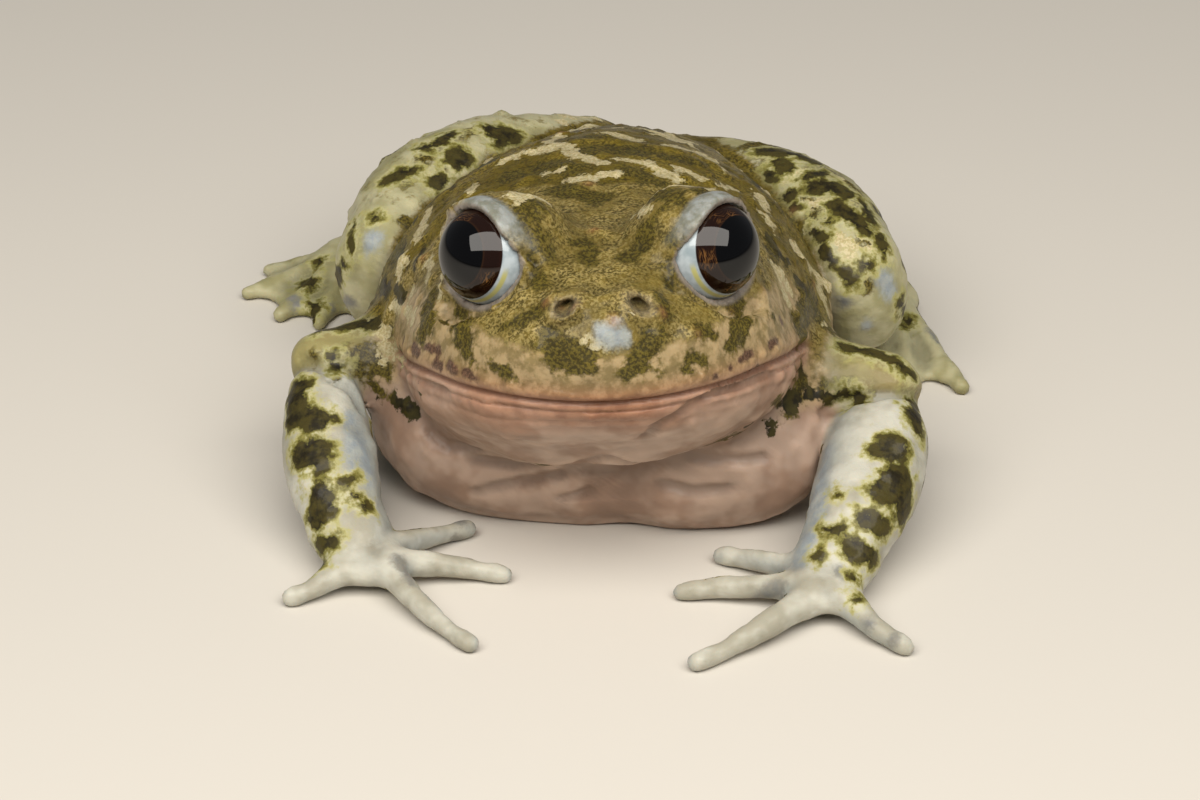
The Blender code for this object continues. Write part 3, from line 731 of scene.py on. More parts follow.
def pictureOf(points):
    # where each point lies in the picture, in pixels from its top left corner, and its distance in mm
    tilt = cameraShape["elevation"]
    x, y, z = (points - cameraShape["aim"]).T
    depth = cameraShape["distance"] + y * math.cos(tilt) - z * math.sin(tilt)
    across = cameraShape["width"] / 2 + cameraShape["pixels"] * x / depth
    rise = y * math.sin(tilt) + z * math.cos(tilt)
    down = cameraShape["height"] / 2 - cameraShape["pixels"] * rise / depth
    return across, down, depth


# Markings: strokes laid on the skin where the picture shows them
# Each is a chain of points: two picture pixels and a half width in mm.

darkStrokes = (
    # right arm
    ((298, 390, 1.3), (295, 418, 1.0)), ((300, 414, 0.8), (316, 420, 1.2)),
    ((301, 455, 1.2), (314, 452, 1.4), (319, 463, 0.8)), ((319, 495, 1.1), (318, 519, 1.1)),
    ((322, 506, 1.0), (330, 506, 0.7)), ((320, 545, 0.6), (330, 541, 0.6)), ((321, 564, 0.4),),
    ((345, 484, 0.3), (352, 480, 0.3)), ((350, 494, 0.3), (357, 496, 0.4)), ((366, 507, 0.5),),
    ((338, 414, 0.3),), ((318, 328, 0.5), (337, 324, 0.7), (355, 323, 0.7), (373, 320, 0.7)),
    ((312, 312, 0.7), (318, 304, 0.6)), ((396, 402, 0.7), (414, 411, 0.8)), ((378, 397, 0.4),),
    ((422, 391, 0.3),), ((330, 358, 0.5), (338, 366, 0.6)),
    # left arm
    ((842, 348, 0.5), (870, 352, 0.6), (886, 356, 0.6), (902, 366, 0.6), (912, 375, 0.5)),
    ((806, 393, 0.8), (825, 396, 0.6), (856, 394, 0.5)), ((786, 405, 0.9), (800, 398, 0.6)),
    ((914, 405, 0.7), (918, 425, 0.6)), ((788, 398, 0.8), (789, 408, 0.6)), ((801, 369, 0.5),),
    # (902, 305) to (908, 322) lies in the gap between the left knee and shank: painted shade
    ((767, 426, 0.5), (770, 432, 0.4)), ((749, 428, 0.55),), ((902, 305, 0.5), (908, 322, 0.5)),
    ((877, 451, 0.6), (891, 447, 1.3)), ((912, 415, 0.9), (916, 430, 0.6)),
    ((899, 479, 1.4), (886, 490, 1.3), (873, 492, 0.6)), ((901, 492, 1.2), (903, 514, 0.9)),
    ((866, 518, 0.8), (880, 528, 0.9)), ((855, 551, 1.0), (867, 556, 0.9)),
    ((828, 528, 0.4), (841, 530, 0.5)), ((818, 555, 0.4),), ((838, 495, 0.25),), ((853, 579, 0.4),),
    ((857, 600, 0.4),),
    # right thigh and flank
    ((424, 146, 0.6), (440, 140, 0.7), (452, 136, 0.6)), ((494, 130, 1.1), (511, 133, 1.1)),
    ((500, 141, 0.6),), ((458, 159, 1.2), (485, 157, 1.2)), ((441, 181, 0.9), (452, 187, 0.6)),
    ((388, 180, 0.6), (399, 174, 0.7), (411, 168, 0.6)), ((374, 214, 0.5),), ((415, 217, 0.5),),
    ((396, 234, 0.4),), ((353, 222, 0.35), (351, 250, 0.4)), ((319, 263, 0.5),),
    ((309, 281, 0.8), (332, 279, 0.7), (342, 266, 0.5)), ((404, 247, 0.5), (403, 257, 0.5)),
    ((423, 250, 0.5), (417, 265, 0.5)), ((383, 282, 0.9), (387, 292, 0.9)),
    ((398, 291, 0.6), (404, 300, 0.6)),
    # left thigh and flank
    ((763, 152, 0.8), (781, 152, 0.9), (800, 157, 0.9), (815, 162, 0.9)),
    ((758, 182, 0.6), (768, 174, 0.6)), ((815, 186, 1.0), (832, 189, 1.1), (846, 195, 0.9)),
    ((789, 193, 0.8),), ((794, 208, 0.6),), ((850, 212, 0.9), (858, 223, 0.9), (866, 231, 0.6)),
    ((826, 223, 0.5),), ((876, 208, 0.4), (880, 216, 0.4)), ((820, 250, 0.6), (829, 260, 0.6)),
    ((866, 262, 0.6),), ((770, 240, 0.8), (781, 256, 0.7)), ((798, 280, 0.6), (806, 294, 0.6)),
    ((911, 266, 0.5),), ((776, 163, 0.7), (790, 168, 0.7)), ((806, 176, 0.6), (822, 174, 0.7)),
    ((838, 206, 0.8), (845, 216, 0.7)), ((862, 205, 0.6), (870, 222, 0.6)),
    ((880, 238, 0.6), (884, 252, 0.5)), ((815, 232, 0.5), (822, 240, 0.5)),
    ((842, 270, 0.5), (850, 280, 0.5)), ((788, 262, 0.5),),
)
mossStrokes = (
    # snout
    ((545, 337, 0.8), (556, 350, 1.2), (569, 357, 1.4), (584, 361, 1.2)),
    ((552, 360, 0.7), (554, 370, 0.5)), ((575, 368, 0.7),),
    ((652, 337, 0.8), (649, 351, 1.2), (637, 362, 1.1), (627, 370, 0.7)), ((658, 371, 0.45),),
    ((687, 370, 0.4), (693, 360, 0.5), (703, 363, 0.4)),
    ((489, 364, 0.35), (500, 368, 0.45), (511, 374, 0.4), (518, 378, 0.25)),
    ((508, 326, 0.5), (522, 318, 0.7), (536, 309, 0.7), (547, 306, 0.5)),
    ((659, 300, 0.7), (664, 313, 0.8), (661, 328, 0.6)), ((700, 332, 0.7), (711, 334, 0.4)),
    ((771, 317, 0.5),),
    # below the eyes
    ((461, 309, 0.8), (462, 328, 1.1), (464, 342, 1.0), (473, 360, 0.6)),
    ((735, 304, 0.9), (740, 321, 1.2), (737, 336, 1.0), (729, 348, 0.6)),
    # between the eyes and on the crown
    ((535, 205, 1.3), (520, 225, 0.8)), ((585, 245, 1.0), (590, 262, 0.8)),
    ((640, 240, 1.1), (625, 258, 0.8)), ((560, 190, 1.4), (600, 196, 1.2)),
    ((655, 190, 1.3), (680, 200, 0.8)), ((531, 255, 0.5), (541, 285, 0.7)),
    ((676, 262, 0.6), (668, 285, 0.7)),
    ((645, 235, 0.45), (655, 218, 0.5), (668, 204, 0.5), (682, 197, 0.4)),
    ((538, 226, 0.4), (547, 246, 0.45), (552, 266, 0.4)),
    # inner ends of the lids: painted shade in the crease between lid and face
    ((508, 238, 0.5), (516, 249, 0.8), (523, 262, 0.6)), ((530, 232, 0.5), (534, 250, 0.6)),
    ((688, 232, 0.6), (680, 244, 0.8), (672, 240, 0.5)),
    # nape and back
    ((545, 165, 1.4), (575, 168, 1.2)), ((590, 150, 1.3), (640, 150, 1.4)), ((510, 175, 1.3),),
    ((625, 170, 1.0), (655, 183, 1.0)), ((600, 137, 0.8), (560, 138, 0.8)),
    ((670, 160, 1.0), (700, 165, 0.9)), ((700, 190, 1.0), (725, 200, 0.9)), ((660, 137, 0.8),),
    # left thigh and the edge of the right one
    ((755, 148, 1.4), (790, 147, 1.2)), ((820, 165, 1.2), (850, 190, 1.3), (862, 215, 1.0)),
    ((770, 165, 0.9),), ((812, 205, 0.9), (826, 236, 1.0)),
    ((405, 179, 0.8), (430, 152, 0.9), (457, 138, 0.9), (490, 127, 0.8)),
    ((430, 200, 0.7), (445, 170, 0.7)), ((404, 222, 0.7), (396, 262, 0.8)),
    ((760, 158, 1.0), (785, 160, 1.3)),
    ((812, 172, 1.3), (838, 190, 1.5), (856, 212, 1.5), (868, 240, 1.2)),
    ((745, 170, 1.0), (775, 205, 1.0)), ((800, 196, 1.0), (815, 205, 0.8)),
    ((830, 210, 0.9), (822, 232, 0.9)), ((772, 246, 0.9), (776, 268, 0.8)),
    ((808, 282, 0.8), (816, 300, 0.8)),
    # arms' roots
    ((314, 357, 0.5), (335, 352, 0.5), (356, 354, 0.6)),
    ((338, 368, 0.6), (362, 371, 0.6), (386, 362, 0.6)), ((372, 344, 0.5), (390, 336, 0.4)),
    ((793, 372, 0.5), (802, 384, 0.6)), ((820, 388, 0.6), (850, 384, 0.6)),
    ((786, 392, 0.6), (780, 404, 0.6)), ((335, 362, 0.5), (368, 362, 0.9), (388, 372, 0.8)),
    ((356, 350, 0.6), (376, 353, 0.6)), ((370, 384, 0.5), (392, 398, 0.6)), ((340, 379, 0.4),),
    ((425, 330, 1.2), (428, 300, 1.2)), ((800, 330, 1.4), (805, 305, 1.2)),
    ((800, 290, 1.0), (815, 310, 1.2), (838, 335, 1.0)), ((858, 262, 0.8), (866, 285, 0.7)),
    ((800, 366, 0.5), (806, 378, 0.5)), ((800, 396, 0.8), (840, 396, 0.7), (872, 392, 0.4)),
    ((775, 400, 0.7), (790, 412, 0.6)),
)
brownStrokes = (
    ((414, 349, 0.45), (419, 353, 0.4)), ((427, 347, 0.35), (436, 351, 0.4)),
    ((434, 362, 0.45), (440, 367, 0.4)), ((449, 366, 0.35), (455, 370, 0.3)),
    ((466, 373, 0.35), (475, 378, 0.3)), ((404, 340, 0.35),), ((741, 359, 0.35), (751, 352, 0.4)),
    ((731, 368, 0.25),), ((768, 345, 0.35), (775, 341, 0.3)), ((757, 366, 0.25),), ((782, 322, 0.35),),
    ((716, 377, 0.25),),
)
paleStrokes = (
    ((503, 164, 0.4), (521, 155, 0.5), (541, 153, 0.6), (559, 131, 0.6), (577, 126, 0.6),
    (618, 123, 0.5)), ((541, 153, 0.5), (562, 144, 0.6), (577, 156, 0.6), (602, 164, 0.5)),
    ((513, 195, 0.9), (530, 189, 1.0), (541, 196, 0.6)),
    ((574, 181, 0.6), (595, 178, 0.7), (612, 176, 0.6)), ((606, 132, 0.5), (636, 137, 0.6)),
    ((650, 166, 0.7), (664, 175, 0.8), (674, 179, 0.4)), ((670, 144, 0.6), (686, 150, 0.7)),
    ((681, 169, 0.6), (698, 177, 0.7)), ((714, 181, 0.4), (728, 184, 0.5)),
    ((620, 160, 0.5), (640, 163, 0.5)), ((705, 158, 0.4), (722, 166, 0.5)),
    ((560, 115, 0.5), (600, 112, 0.4)), ((640, 118, 0.5), (672, 128, 0.5)),
    # thighs and flanks
    ((764, 186, 0.8), (790, 173, 1.0), (812, 172, 0.7)),
    ((796, 205, 0.7), (820, 200, 0.7), (834, 205, 0.5)), ((812, 228, 0.6), (822, 231, 0.5)),
    ((758, 196, 0.6), (764, 208, 0.6)), ((830, 172, 0.5), (842, 178, 0.5)),
    # (586, 336) to (597, 342) lies on the snout's moist patch: a pale painted reflection of the light
    ((862, 236, 0.5), (872, 252, 0.6)), ((586, 336, 0.4), (597, 342, 0.4)),
    ((640, 205, 0.5), (652, 208, 0.4)), ((381, 331, 0.6), (390, 350, 0.8), (397, 366, 0.5)),
    ((560, 121, 0.4), (590, 119, 0.4)), ((700, 150, 0.4), (712, 158, 0.4)),
    ((545, 172, 0.4), (560, 170, 0.4)), ((720, 200, 0.5), (734, 210, 0.5)),
    ((742, 222, 0.5), (748, 236, 0.4)), ((470, 190, 0.5), (462, 204, 0.4)),
    ((450, 222, 0.5), (444, 236, 0.5)), ((838, 240, 0.9), (850, 262, 0.9)),
    ((425, 215, 0.6), (418, 240, 0.5)), ((408, 255, 0.6), (400, 280, 0.5)),
    ((395, 305, 0.6), (415, 318, 0.5)), ((440, 290, 0.4), (438, 302, 0.3)),
    ((796, 246, 0.6), (812, 266, 0.7), (828, 284, 0.6)),
    ((775, 268, 0.6), (783, 285, 0.7), (790, 298, 0.5)), ((822, 322, 0.4),),
    ((780, 270, 0.6), (790, 290, 0.5)), ((430, 262, 0.6), (426, 280, 0.5)), ((412, 290, 0.5),),
    ((820, 290, 0.8), (828, 310, 0.6)), ((765, 215, 0.5), (772, 228, 0.5)),
)
blueStrokes = (
    ((352, 420, 0.8), (362, 470, 1.4)), ((331, 455, 0.8),), ((345, 500, 0.5),),
    ((828, 450, 0.7), (815, 520, 1.2), (800, 560, 0.9)), ((845, 533, 0.5),),
    # (603, 334) to (619, 337) lies on the snout's moist patch: bluish bare skin and painted reflection of
    # the light
    ((375, 238, 0.8), (368, 246, 0.6)), ((603, 334, 0.7), (619, 337, 0.8)),
    ((884, 280, 0.8), (890, 292, 0.7)), ((866, 324, 0.4),),
)
greyStrokes = (
    ((398, 560, 0.5), (405, 572, 0.6), (412, 584, 0.3)), ((778, 588, 0.7), (762, 604, 0.6)),
    ((457, 540, 0.5),), ((460, 517, 0.6),), ((872, 623, 0.5),), ((892, 641, 0.4),),
    ((838, 571, 0.5), (846, 580, 0.4)), ((320, 548, 0.4), (327, 543, 0.4)),
    ((352, 300, 0.5), (330, 306, 0.5), (312, 300, 0.4)), ((292, 300, 0.5), (300, 308, 0.5)),
    ((930, 330, 0.4), (940, 342, 0.4)), ((846, 300, 0.6),),
)
# folds pressed into the skin: at the elbows, under the throat, across the chest and beside the eyes
creaseLines = (
    ((300, 358, 0.4), (318, 366, 0.45), (336, 378, 0.45), (352, 394, 0.4), (362, 410, 0.3)),
    ((822, 412, 0.35), (845, 402, 0.45), (875, 397, 0.5), (905, 396, 0.45), (924, 398, 0.4)),
    ((769, 371, 0.35), (745, 383, 0.5), (718, 393, 0.5), (690, 407, 0.5), (660, 424, 0.45),
    (645, 438, 0.3)),
    ((473, 458, 0.3), (515, 466, 0.45), (566, 466, 0.5), (606, 456, 0.4), (650, 459, 0.35),
    (700, 459, 0.4), (765, 458, 0.3)), ((430, 432, 0.3), (450, 444, 0.4), (475, 452, 0.3)),
    ((476, 491, 0.3), (520, 484, 0.4), (562, 476, 0.35)),
    ((662, 489, 0.3), (696, 496, 0.4), (728, 491, 0.3)), ((560, 500, 0.25), (590, 496, 0.3)),
    ((524, 255, 0.2), (537, 264, 0.25), (536, 275, 0.25), (522, 292, 0.2)),
    ((682, 250, 0.2), (668, 262, 0.25), (668, 276, 0.25), (680, 293, 0.2)),
)
# the dip between the chest's two bulges
hollowLines = (((600, 474, 1.0), (618, 495, 1.6), (626, 520, 1.4)),)
hollowDepth = 0.7
creaseDepth = 0.42
wartShape = {
    "count": 620,
    "seed": 11,
    "radius": (0.3, 0.8),
    "height": 0.42,
    "lowest": 4.0,  # warts grow above this height
}
# wavelength, height and seed
rippleShape = {
    "long": (7.0, 0.11, 3),
    "short": (2.3, 0.045, 5),
    "fine": (1.2, 0.025, 7),
    "chest": (9.0, 0.28, 9),
}
# marks where the picture doesn't show the skin: wavelength, seed, strength and the least ripple that shows
hiddenMarks = {
    "dark": (6.0, 21, 1.6, 0.55),
    "moss": (7.0, 22, 1.6, 0.35),
    "pale": (7.5, 23, 1.4, 0.95),
}
# the moist patch on the snout's tip, in the head's directions
wetPatch = {"place": (0.3, 19.9, 3.9), "size": (2.3, 1.6, 1.1)}


def facing(normals):
    # share of each normal that points to the camera
    tilt = cameraShape["elevation"]
    return normals @ np.array((0.0, -math.cos(tilt), math.sin(tilt)))


def skinUnder(x, y, picture, front, points):
    # the nearest skin point that faces the camera close to a place in the picture
    across, down, depth = picture
    miss = np.hypot(across - x, down - y)
    close = np.flatnonzero(front & (miss < max(7.0, miss[front].min() + 2.0)))
    nearest = depth[close].min()
    close = close[depth[close] < nearest + 3.0]
    return points[close[np.argmin(miss[close])]]


def strokeField(strokes, points, picture, front):
    # height above 0 inside the strokes: half width less the distance to the chain, at best
    field = np.full(len(points), -4.0)
    for stroke in strokes:
        spots = [(*skinUnder(x, y, picture, front, points), radius) for x, y, radius in stroke]
        rows = np.array(spots + spots[-1:])
        middle, span = rows[:, :3].mean(axis=0), np.ptp(rows[:, :3], axis=0)
        near = np.flatnonzero((np.abs(points - middle) < span + 5.0).all(axis=1))
        for a, b in zip(rows[:-1], rows[1:]):
            axis = b[:3] - a[:3]
            t = np.clip((points[near] - a[:3]) @ axis / max(axis @ axis, 1e-9), 0.0, 1.0)
            away = np.linalg.norm(points[near] - a[:3] - t[:, None] * axis, axis=1)
            field[near] = np.maximum(field[near], a[3] + t * (b[3] - a[3]) - away)
    return field


def zones(points, normals):
    # how far each point belongs to the back, the limbs, the pale underside and the lids, all 0 to 1
    local = toHead(points)
    level = mouthLevel(local)
    head, torso = headDistance(points), torsoDistance(points)
    trunk = np.minimum(head, torso)
    arm, upper = np.zeros(len(points)), np.zeros(len(points))
    for side in sideSigns:
        whole = armDistance(points, side)
        arm = np.maximum(arm, smoothStep(-0.4, 1.8, trunk - whole))
        parts = [tubeDistance(points, curveThrough(armShape[part][side], 12)) for part in ("upper", "fore")]
        share = arm * smoothStep(0.5, -0.4, parts[0] - parts[1])
        upper = np.maximum(upper, share * smoothStep(3.0, 1.5, whole))
    leg = np.zeros(len(points))
    for side in sideSigns:
        whole = footDistance(points, side)
        for part in ("thigh", "shank"):
            whole = np.minimum(whole, tubeDistance(points, curveThrough(legShape[part][side], 12)))
        leg = np.maximum(leg, smoothStep(0.0, 1.8, trunk - whole))
    own = ownHead(torso, head)
    onHead = smoothStep(-3.0, 3.0, local[:, 1]) * own
    lip = 2.4 + 1.4 * smoothStep(6.0, 16.0, np.abs(points[:, 0]))
    headBack = smoothStep(0.0, 3.4, level - lip)
    trunkBack = smoothStep(10.0, 15.5, points[:, 2] + 2.0 * smoothStep(10.0, 26.0, points[:, 1]))
    back = (onHead * headBack + (1.0 - onHead) * trunkBack) * (1.0 - 0.85 * arm) * (1.0 - 0.7 * leg)
    low = 5.0 + 3.5 * smoothStep(5.0, -3.0, points[:, 1])
    throat = onHead * smoothStep(1.4, -0.5, level)
    throat += (1.0 - onHead) * smoothStep(4.0, 0.0, points[:, 2] - low)
    throat *= (1.0 - arm) * (1.0 - leg) * (1.0 - 0.7 * smoothStep(18.0, 32.0, points[:, 1]))
    lid = np.zeros(len(points))
    rim = np.zeros(len(points))
    for side in sideSigns:
        away, polar, around = aroundEye(points, side)
        beyond = polar - lidEdge(around)[0]
        close = smoothStep(eyeShape["radius"] + 1.7, eyeShape["radius"] + 1.0, away)
        margin = smoothStep(eyeShape["radius"] + 0.8, eyeShape["radius"] + 0.4, away)
        width = lidShape["band"]
        band = smoothStep(-4.0, 1.0, beyond) * smoothStep(width + 3.0, width - 3.0, beyond)
        lid = np.maximum(lid, close * band * smoothStep(62.0, 26.0, np.abs(around - 10.0)))
        rim = np.maximum(rim, margin * smoothStep(4.5, 1.5, beyond) * smoothStep(-6.0, -1.0, beyond))
    for ring in nostrilRings(local):
        rim = np.maximum(rim, 0.4 * bell(ring - 1.2, 0.6))
    inner = arm * smoothStep(0.25, 0.9, -normals[:, 0] * np.sign(points[:, 0])) * (1.0 - upper)
    nape = back * smoothStep(1.4, -0.8, local[:, 1] + 0.05 * np.minimum(np.abs(local[:, 0]), 6.0) ** 2)
    wet = bell(np.linalg.norm((local - wetPatch["place"]) / wetPatch["size"], axis=1), 1.0) + lid
    level = np.clip(level, -9.0, 9.0)
    return {
        "back": back, "nape": nape, "arm": arm, "leg": leg, "throat": throat, "lid": lid, "rim": rim,
        "level": level, "inner": inner, "wet": wet, "upper": upper, "own": own,
    }


def warts(points, normals, back):
    # low domes: height x exp(-(distance / radius)^2), each on a seeded point of the upper skin
    draw = np.random.default_rng(wartShape["seed"])
    upward = np.clip(normals[:, 2] + 0.75, 0.0, 1.2)
    weight = (points[:, 2] > wartShape["lowest"]) * upward * (0.25 + 0.75 * back)
    seeds = draw.choice(len(points), wartShape["count"], replace=False, p=weight / weight.sum())
    radii = wartShape["radius"][0] + np.ptp(wartShape["radius"]) * draw.random(len(seeds)) ** 2.2
    height, tip = np.zeros(len(points)), np.zeros(len(points))
    for seed, radius in zip(seeds, radii):
        near = np.flatnonzero((np.abs(points - points[seed]) < 3.0 * radius).all(axis=1))
        away = np.linalg.norm(points[near] - points[seed], axis=1)
        height[near] += wartShape["height"] * radius * bell(away, radius)
        tip[near] = np.maximum(tip[near], bell(away, 0.55 * radius) * (radius > 0.74))
    return height, tip


def meshEdges(data):
    edges = np.empty(2 * len(data.edges), np.int32)
    data.edges.foreach_get("vertices", edges)
    return edges.reshape(-1, 2)


def refine(points, quads):
    # halves the faces at the mouth's line, round the eyes and at the nostrils, and draws all points onto
    # the surface again
    local = toHead(points)
    chosen = (np.abs(mouthLevel(local) + 0.2) < 1.7) & (local[:, 1] > 1.0) & (headDistance(points) < 1.5)
    across, forward, up = nostrilShape["place"]
    beside = np.abs(local[:, 0] - nostrilShape["middle"]) - across
    chosen |= np.linalg.norm((beside, local[:, 1] - forward, local[:, 2] - up), axis=0) < 1.7
    for side in sideSigns:
        away, polar, around = aroundEye(points, side)
        chosen |= (away < eyeShape["radius"] + 1.4) & (np.abs(polar - lidEdge(around)[0] - 3.0) < 11.0)
    data = bpy.data.meshes.new("skin")
    data.from_pydata(points.tolist(), [], quads.tolist())
    mesh = bmesh.new()
    mesh.from_mesh(data)
    mesh.edges.ensure_lookup_table()
    picked = [mesh.edges[k] for k in np.flatnonzero(chosen[meshEdges(data)].all(axis=1))]
    bmesh.ops.subdivide_edges(mesh, edges=picked, cuts=1, use_grid_fill=True)
    mesh.to_mesh(data)
    mesh.free()
    fine = np.empty(3 * len(data.vertices))
    data.vertices.foreach_get("co", fine)
    fine = fine.reshape(-1, 3)
    edges = meshEdges(data)
    for _ in range(netShape["rounds"]):
        fine = drawOnto(0.6 * fine + 0.4 * neighbourMean(fine, edges))
    return data, fine, edges


def evenOut(data, points, edges):
    # moves the points of faces that lie crosswise to the skin, and the points next to them, most of the way
    # to the mean of their neighbours
    corners = np.empty(len(data.loops), np.int32)
    data.loops.foreach_get("vertex_index", corners)
    sizes = np.empty(len(data.polygons), np.int32)
    data.polygons.foreach_get("loop_total", sizes)
    owners = np.repeat(np.arange(len(sizes)), sizes)
    faceNormals, pointNormals = np.empty((len(sizes), 3)), np.empty((len(points), 3))
    for _ in range(netShape["turns"]):
        data.vertices.foreach_set("co", ((points + animalShift) * mm).ravel())
        data.update()
        data.polygons.foreach_get("normal", faceNormals.ravel())
        data.vertices.foreach_get("normal", pointNormals.ravel())
        agreement = (faceNormals[owners] * pointNormals[corners]).sum(axis=1)
        crosswise = np.zeros(len(points))
        crosswise[corners[agreement < netShape["crosswise"]]] = 1.0
        near = (crosswise + neighbourMean(crosswise, edges) > 0.0)[:, None]
        points = np.where(near, 0.3 * points + 0.7 * neighbourMean(points, edges), points)
    return points


# Materials

def linear(hexColour):
    # sRGB hex to linear red, green, blue and alpha
    parts = [int(hexColour[k:k + 2], 16) / 255 for k in (1, 3, 5)]
    return (*[v / 12.92 if v <= 0.04045 else ((v + 0.055) / 1.055) ** 2.4 for v in parts], 1.0)


def addNode(tree, kind, inputs=None, out=0, **settings):
    # adds one node with its settings, fills or links its inputs, and gives back one output
    made = tree.nodes.new(kind)
    for name, value in settings.items():
        setattr(made, name, value)
    for key, value in (inputs or {}).items():
        if isinstance(value, bpy.types.NodeSocket):
            tree.links.new(value, made.inputs[key])
        else:
            made.inputs[key].default_value = value
    return made.outputs[out]


def newMaterial(name):
    material = bpy.data.materials.new(name)
    material.use_nodes = True
    return material, material.node_tree, material.node_tree.nodes["Principled BSDF"]


skinLook = {
    # two colours that a pattern of that name mixes
    "face": ("#a9936c", "#82714a", "mottle"),
    "limb": ("#b8b6a9", "#9b9787", "patch"),
    "thigh": ("#aaa583", "#8f8a62", "patch"),
    "inner": ("#a5a8a2", "#9a9d96", "patch"),
    "upper": ("#83774e", "#8f8658", "patch"),
    "under": ("#b39a88", "#9a7e6b", "patch"),
    "olive": ("#6d5d26", "#4a3f16", "mottle"),
    "grains": ("#988751", "#80703a", "patch"),
    "nape": ("#625312", "#3f350a", "mottle"),
    "napeGrains": ("#7f6e28", "#625419", "patch"),
    "moss": ("#39310e", "#62561f", "grain"),
    "brown": ("#4d382a", "#6d523f", "grain"),
    "pale": ("#c0b48e", "#a4976b", "grain"),
    "blue": ("#868e92", "#969a96", "mottle"),
    "grey": ("#6f706d", "#7f7d74", "mottle"),
    "halo": ("#b5b084", "#9f9a62", "mottle"),
    "ring": ("#5f5a24", "#7a743a", "grain"),
    "dark": ("#1f1a09", "#3f3814", "mottle"),
    "lid": ("#90938f", "#75766a", "mottle"),
    "rim": ("#8d8378", "#756c62", "mottle"),
    # warm band at the mouth's line: painted warm bounce light, strongest at the jaw's middle, and painted
    # shade below the line
    "lipBounceAndShade": ("#9c6d50", "#86583e", "mottle"),
    # painted shade in the mouth's groove
    "line": ("#7a4b34", "#7a4b34", "grain"),
    "tip": ("#9c6647", "#9c6647", "grain"),
    # width of each pattern in metres, then the noise's values where its second colour starts and is full
    "grain": (0.00024, 0.42, 0.60),
    "mottle": (0.0011, 0.38, 0.62),
    "patch": (0.0055, 0.42, 0.60),
    # how far noise warps the edge of each mark in mm, and where the mark starts and is full
    "edges": {
        "moss": (1.0, -0.3, 0.3),
        "brown": (0.4, -0.2, 0.15),
        "pale": (1.3, -0.15, 0.15),
        "blue": (0.8, -0.7, 0.5),
        "grey": (0.6, -0.5, 0.4),
        "halo": (1.3, -1.1, -0.2),
        "ring": (1.0, -0.5, 0.0),
        "dark": (0.9, -0.05, 0.2),
        "back": (0.2, 0.3, 0.7),
        "nape": (0.35, 0.3, 0.7),
        "throat": (0.25, 0.05, 0.95),
    },
    "grainWidth": 0.0005,  # granules that stand up from the skin, in metres
    "grainHeight": 0.00012,
}


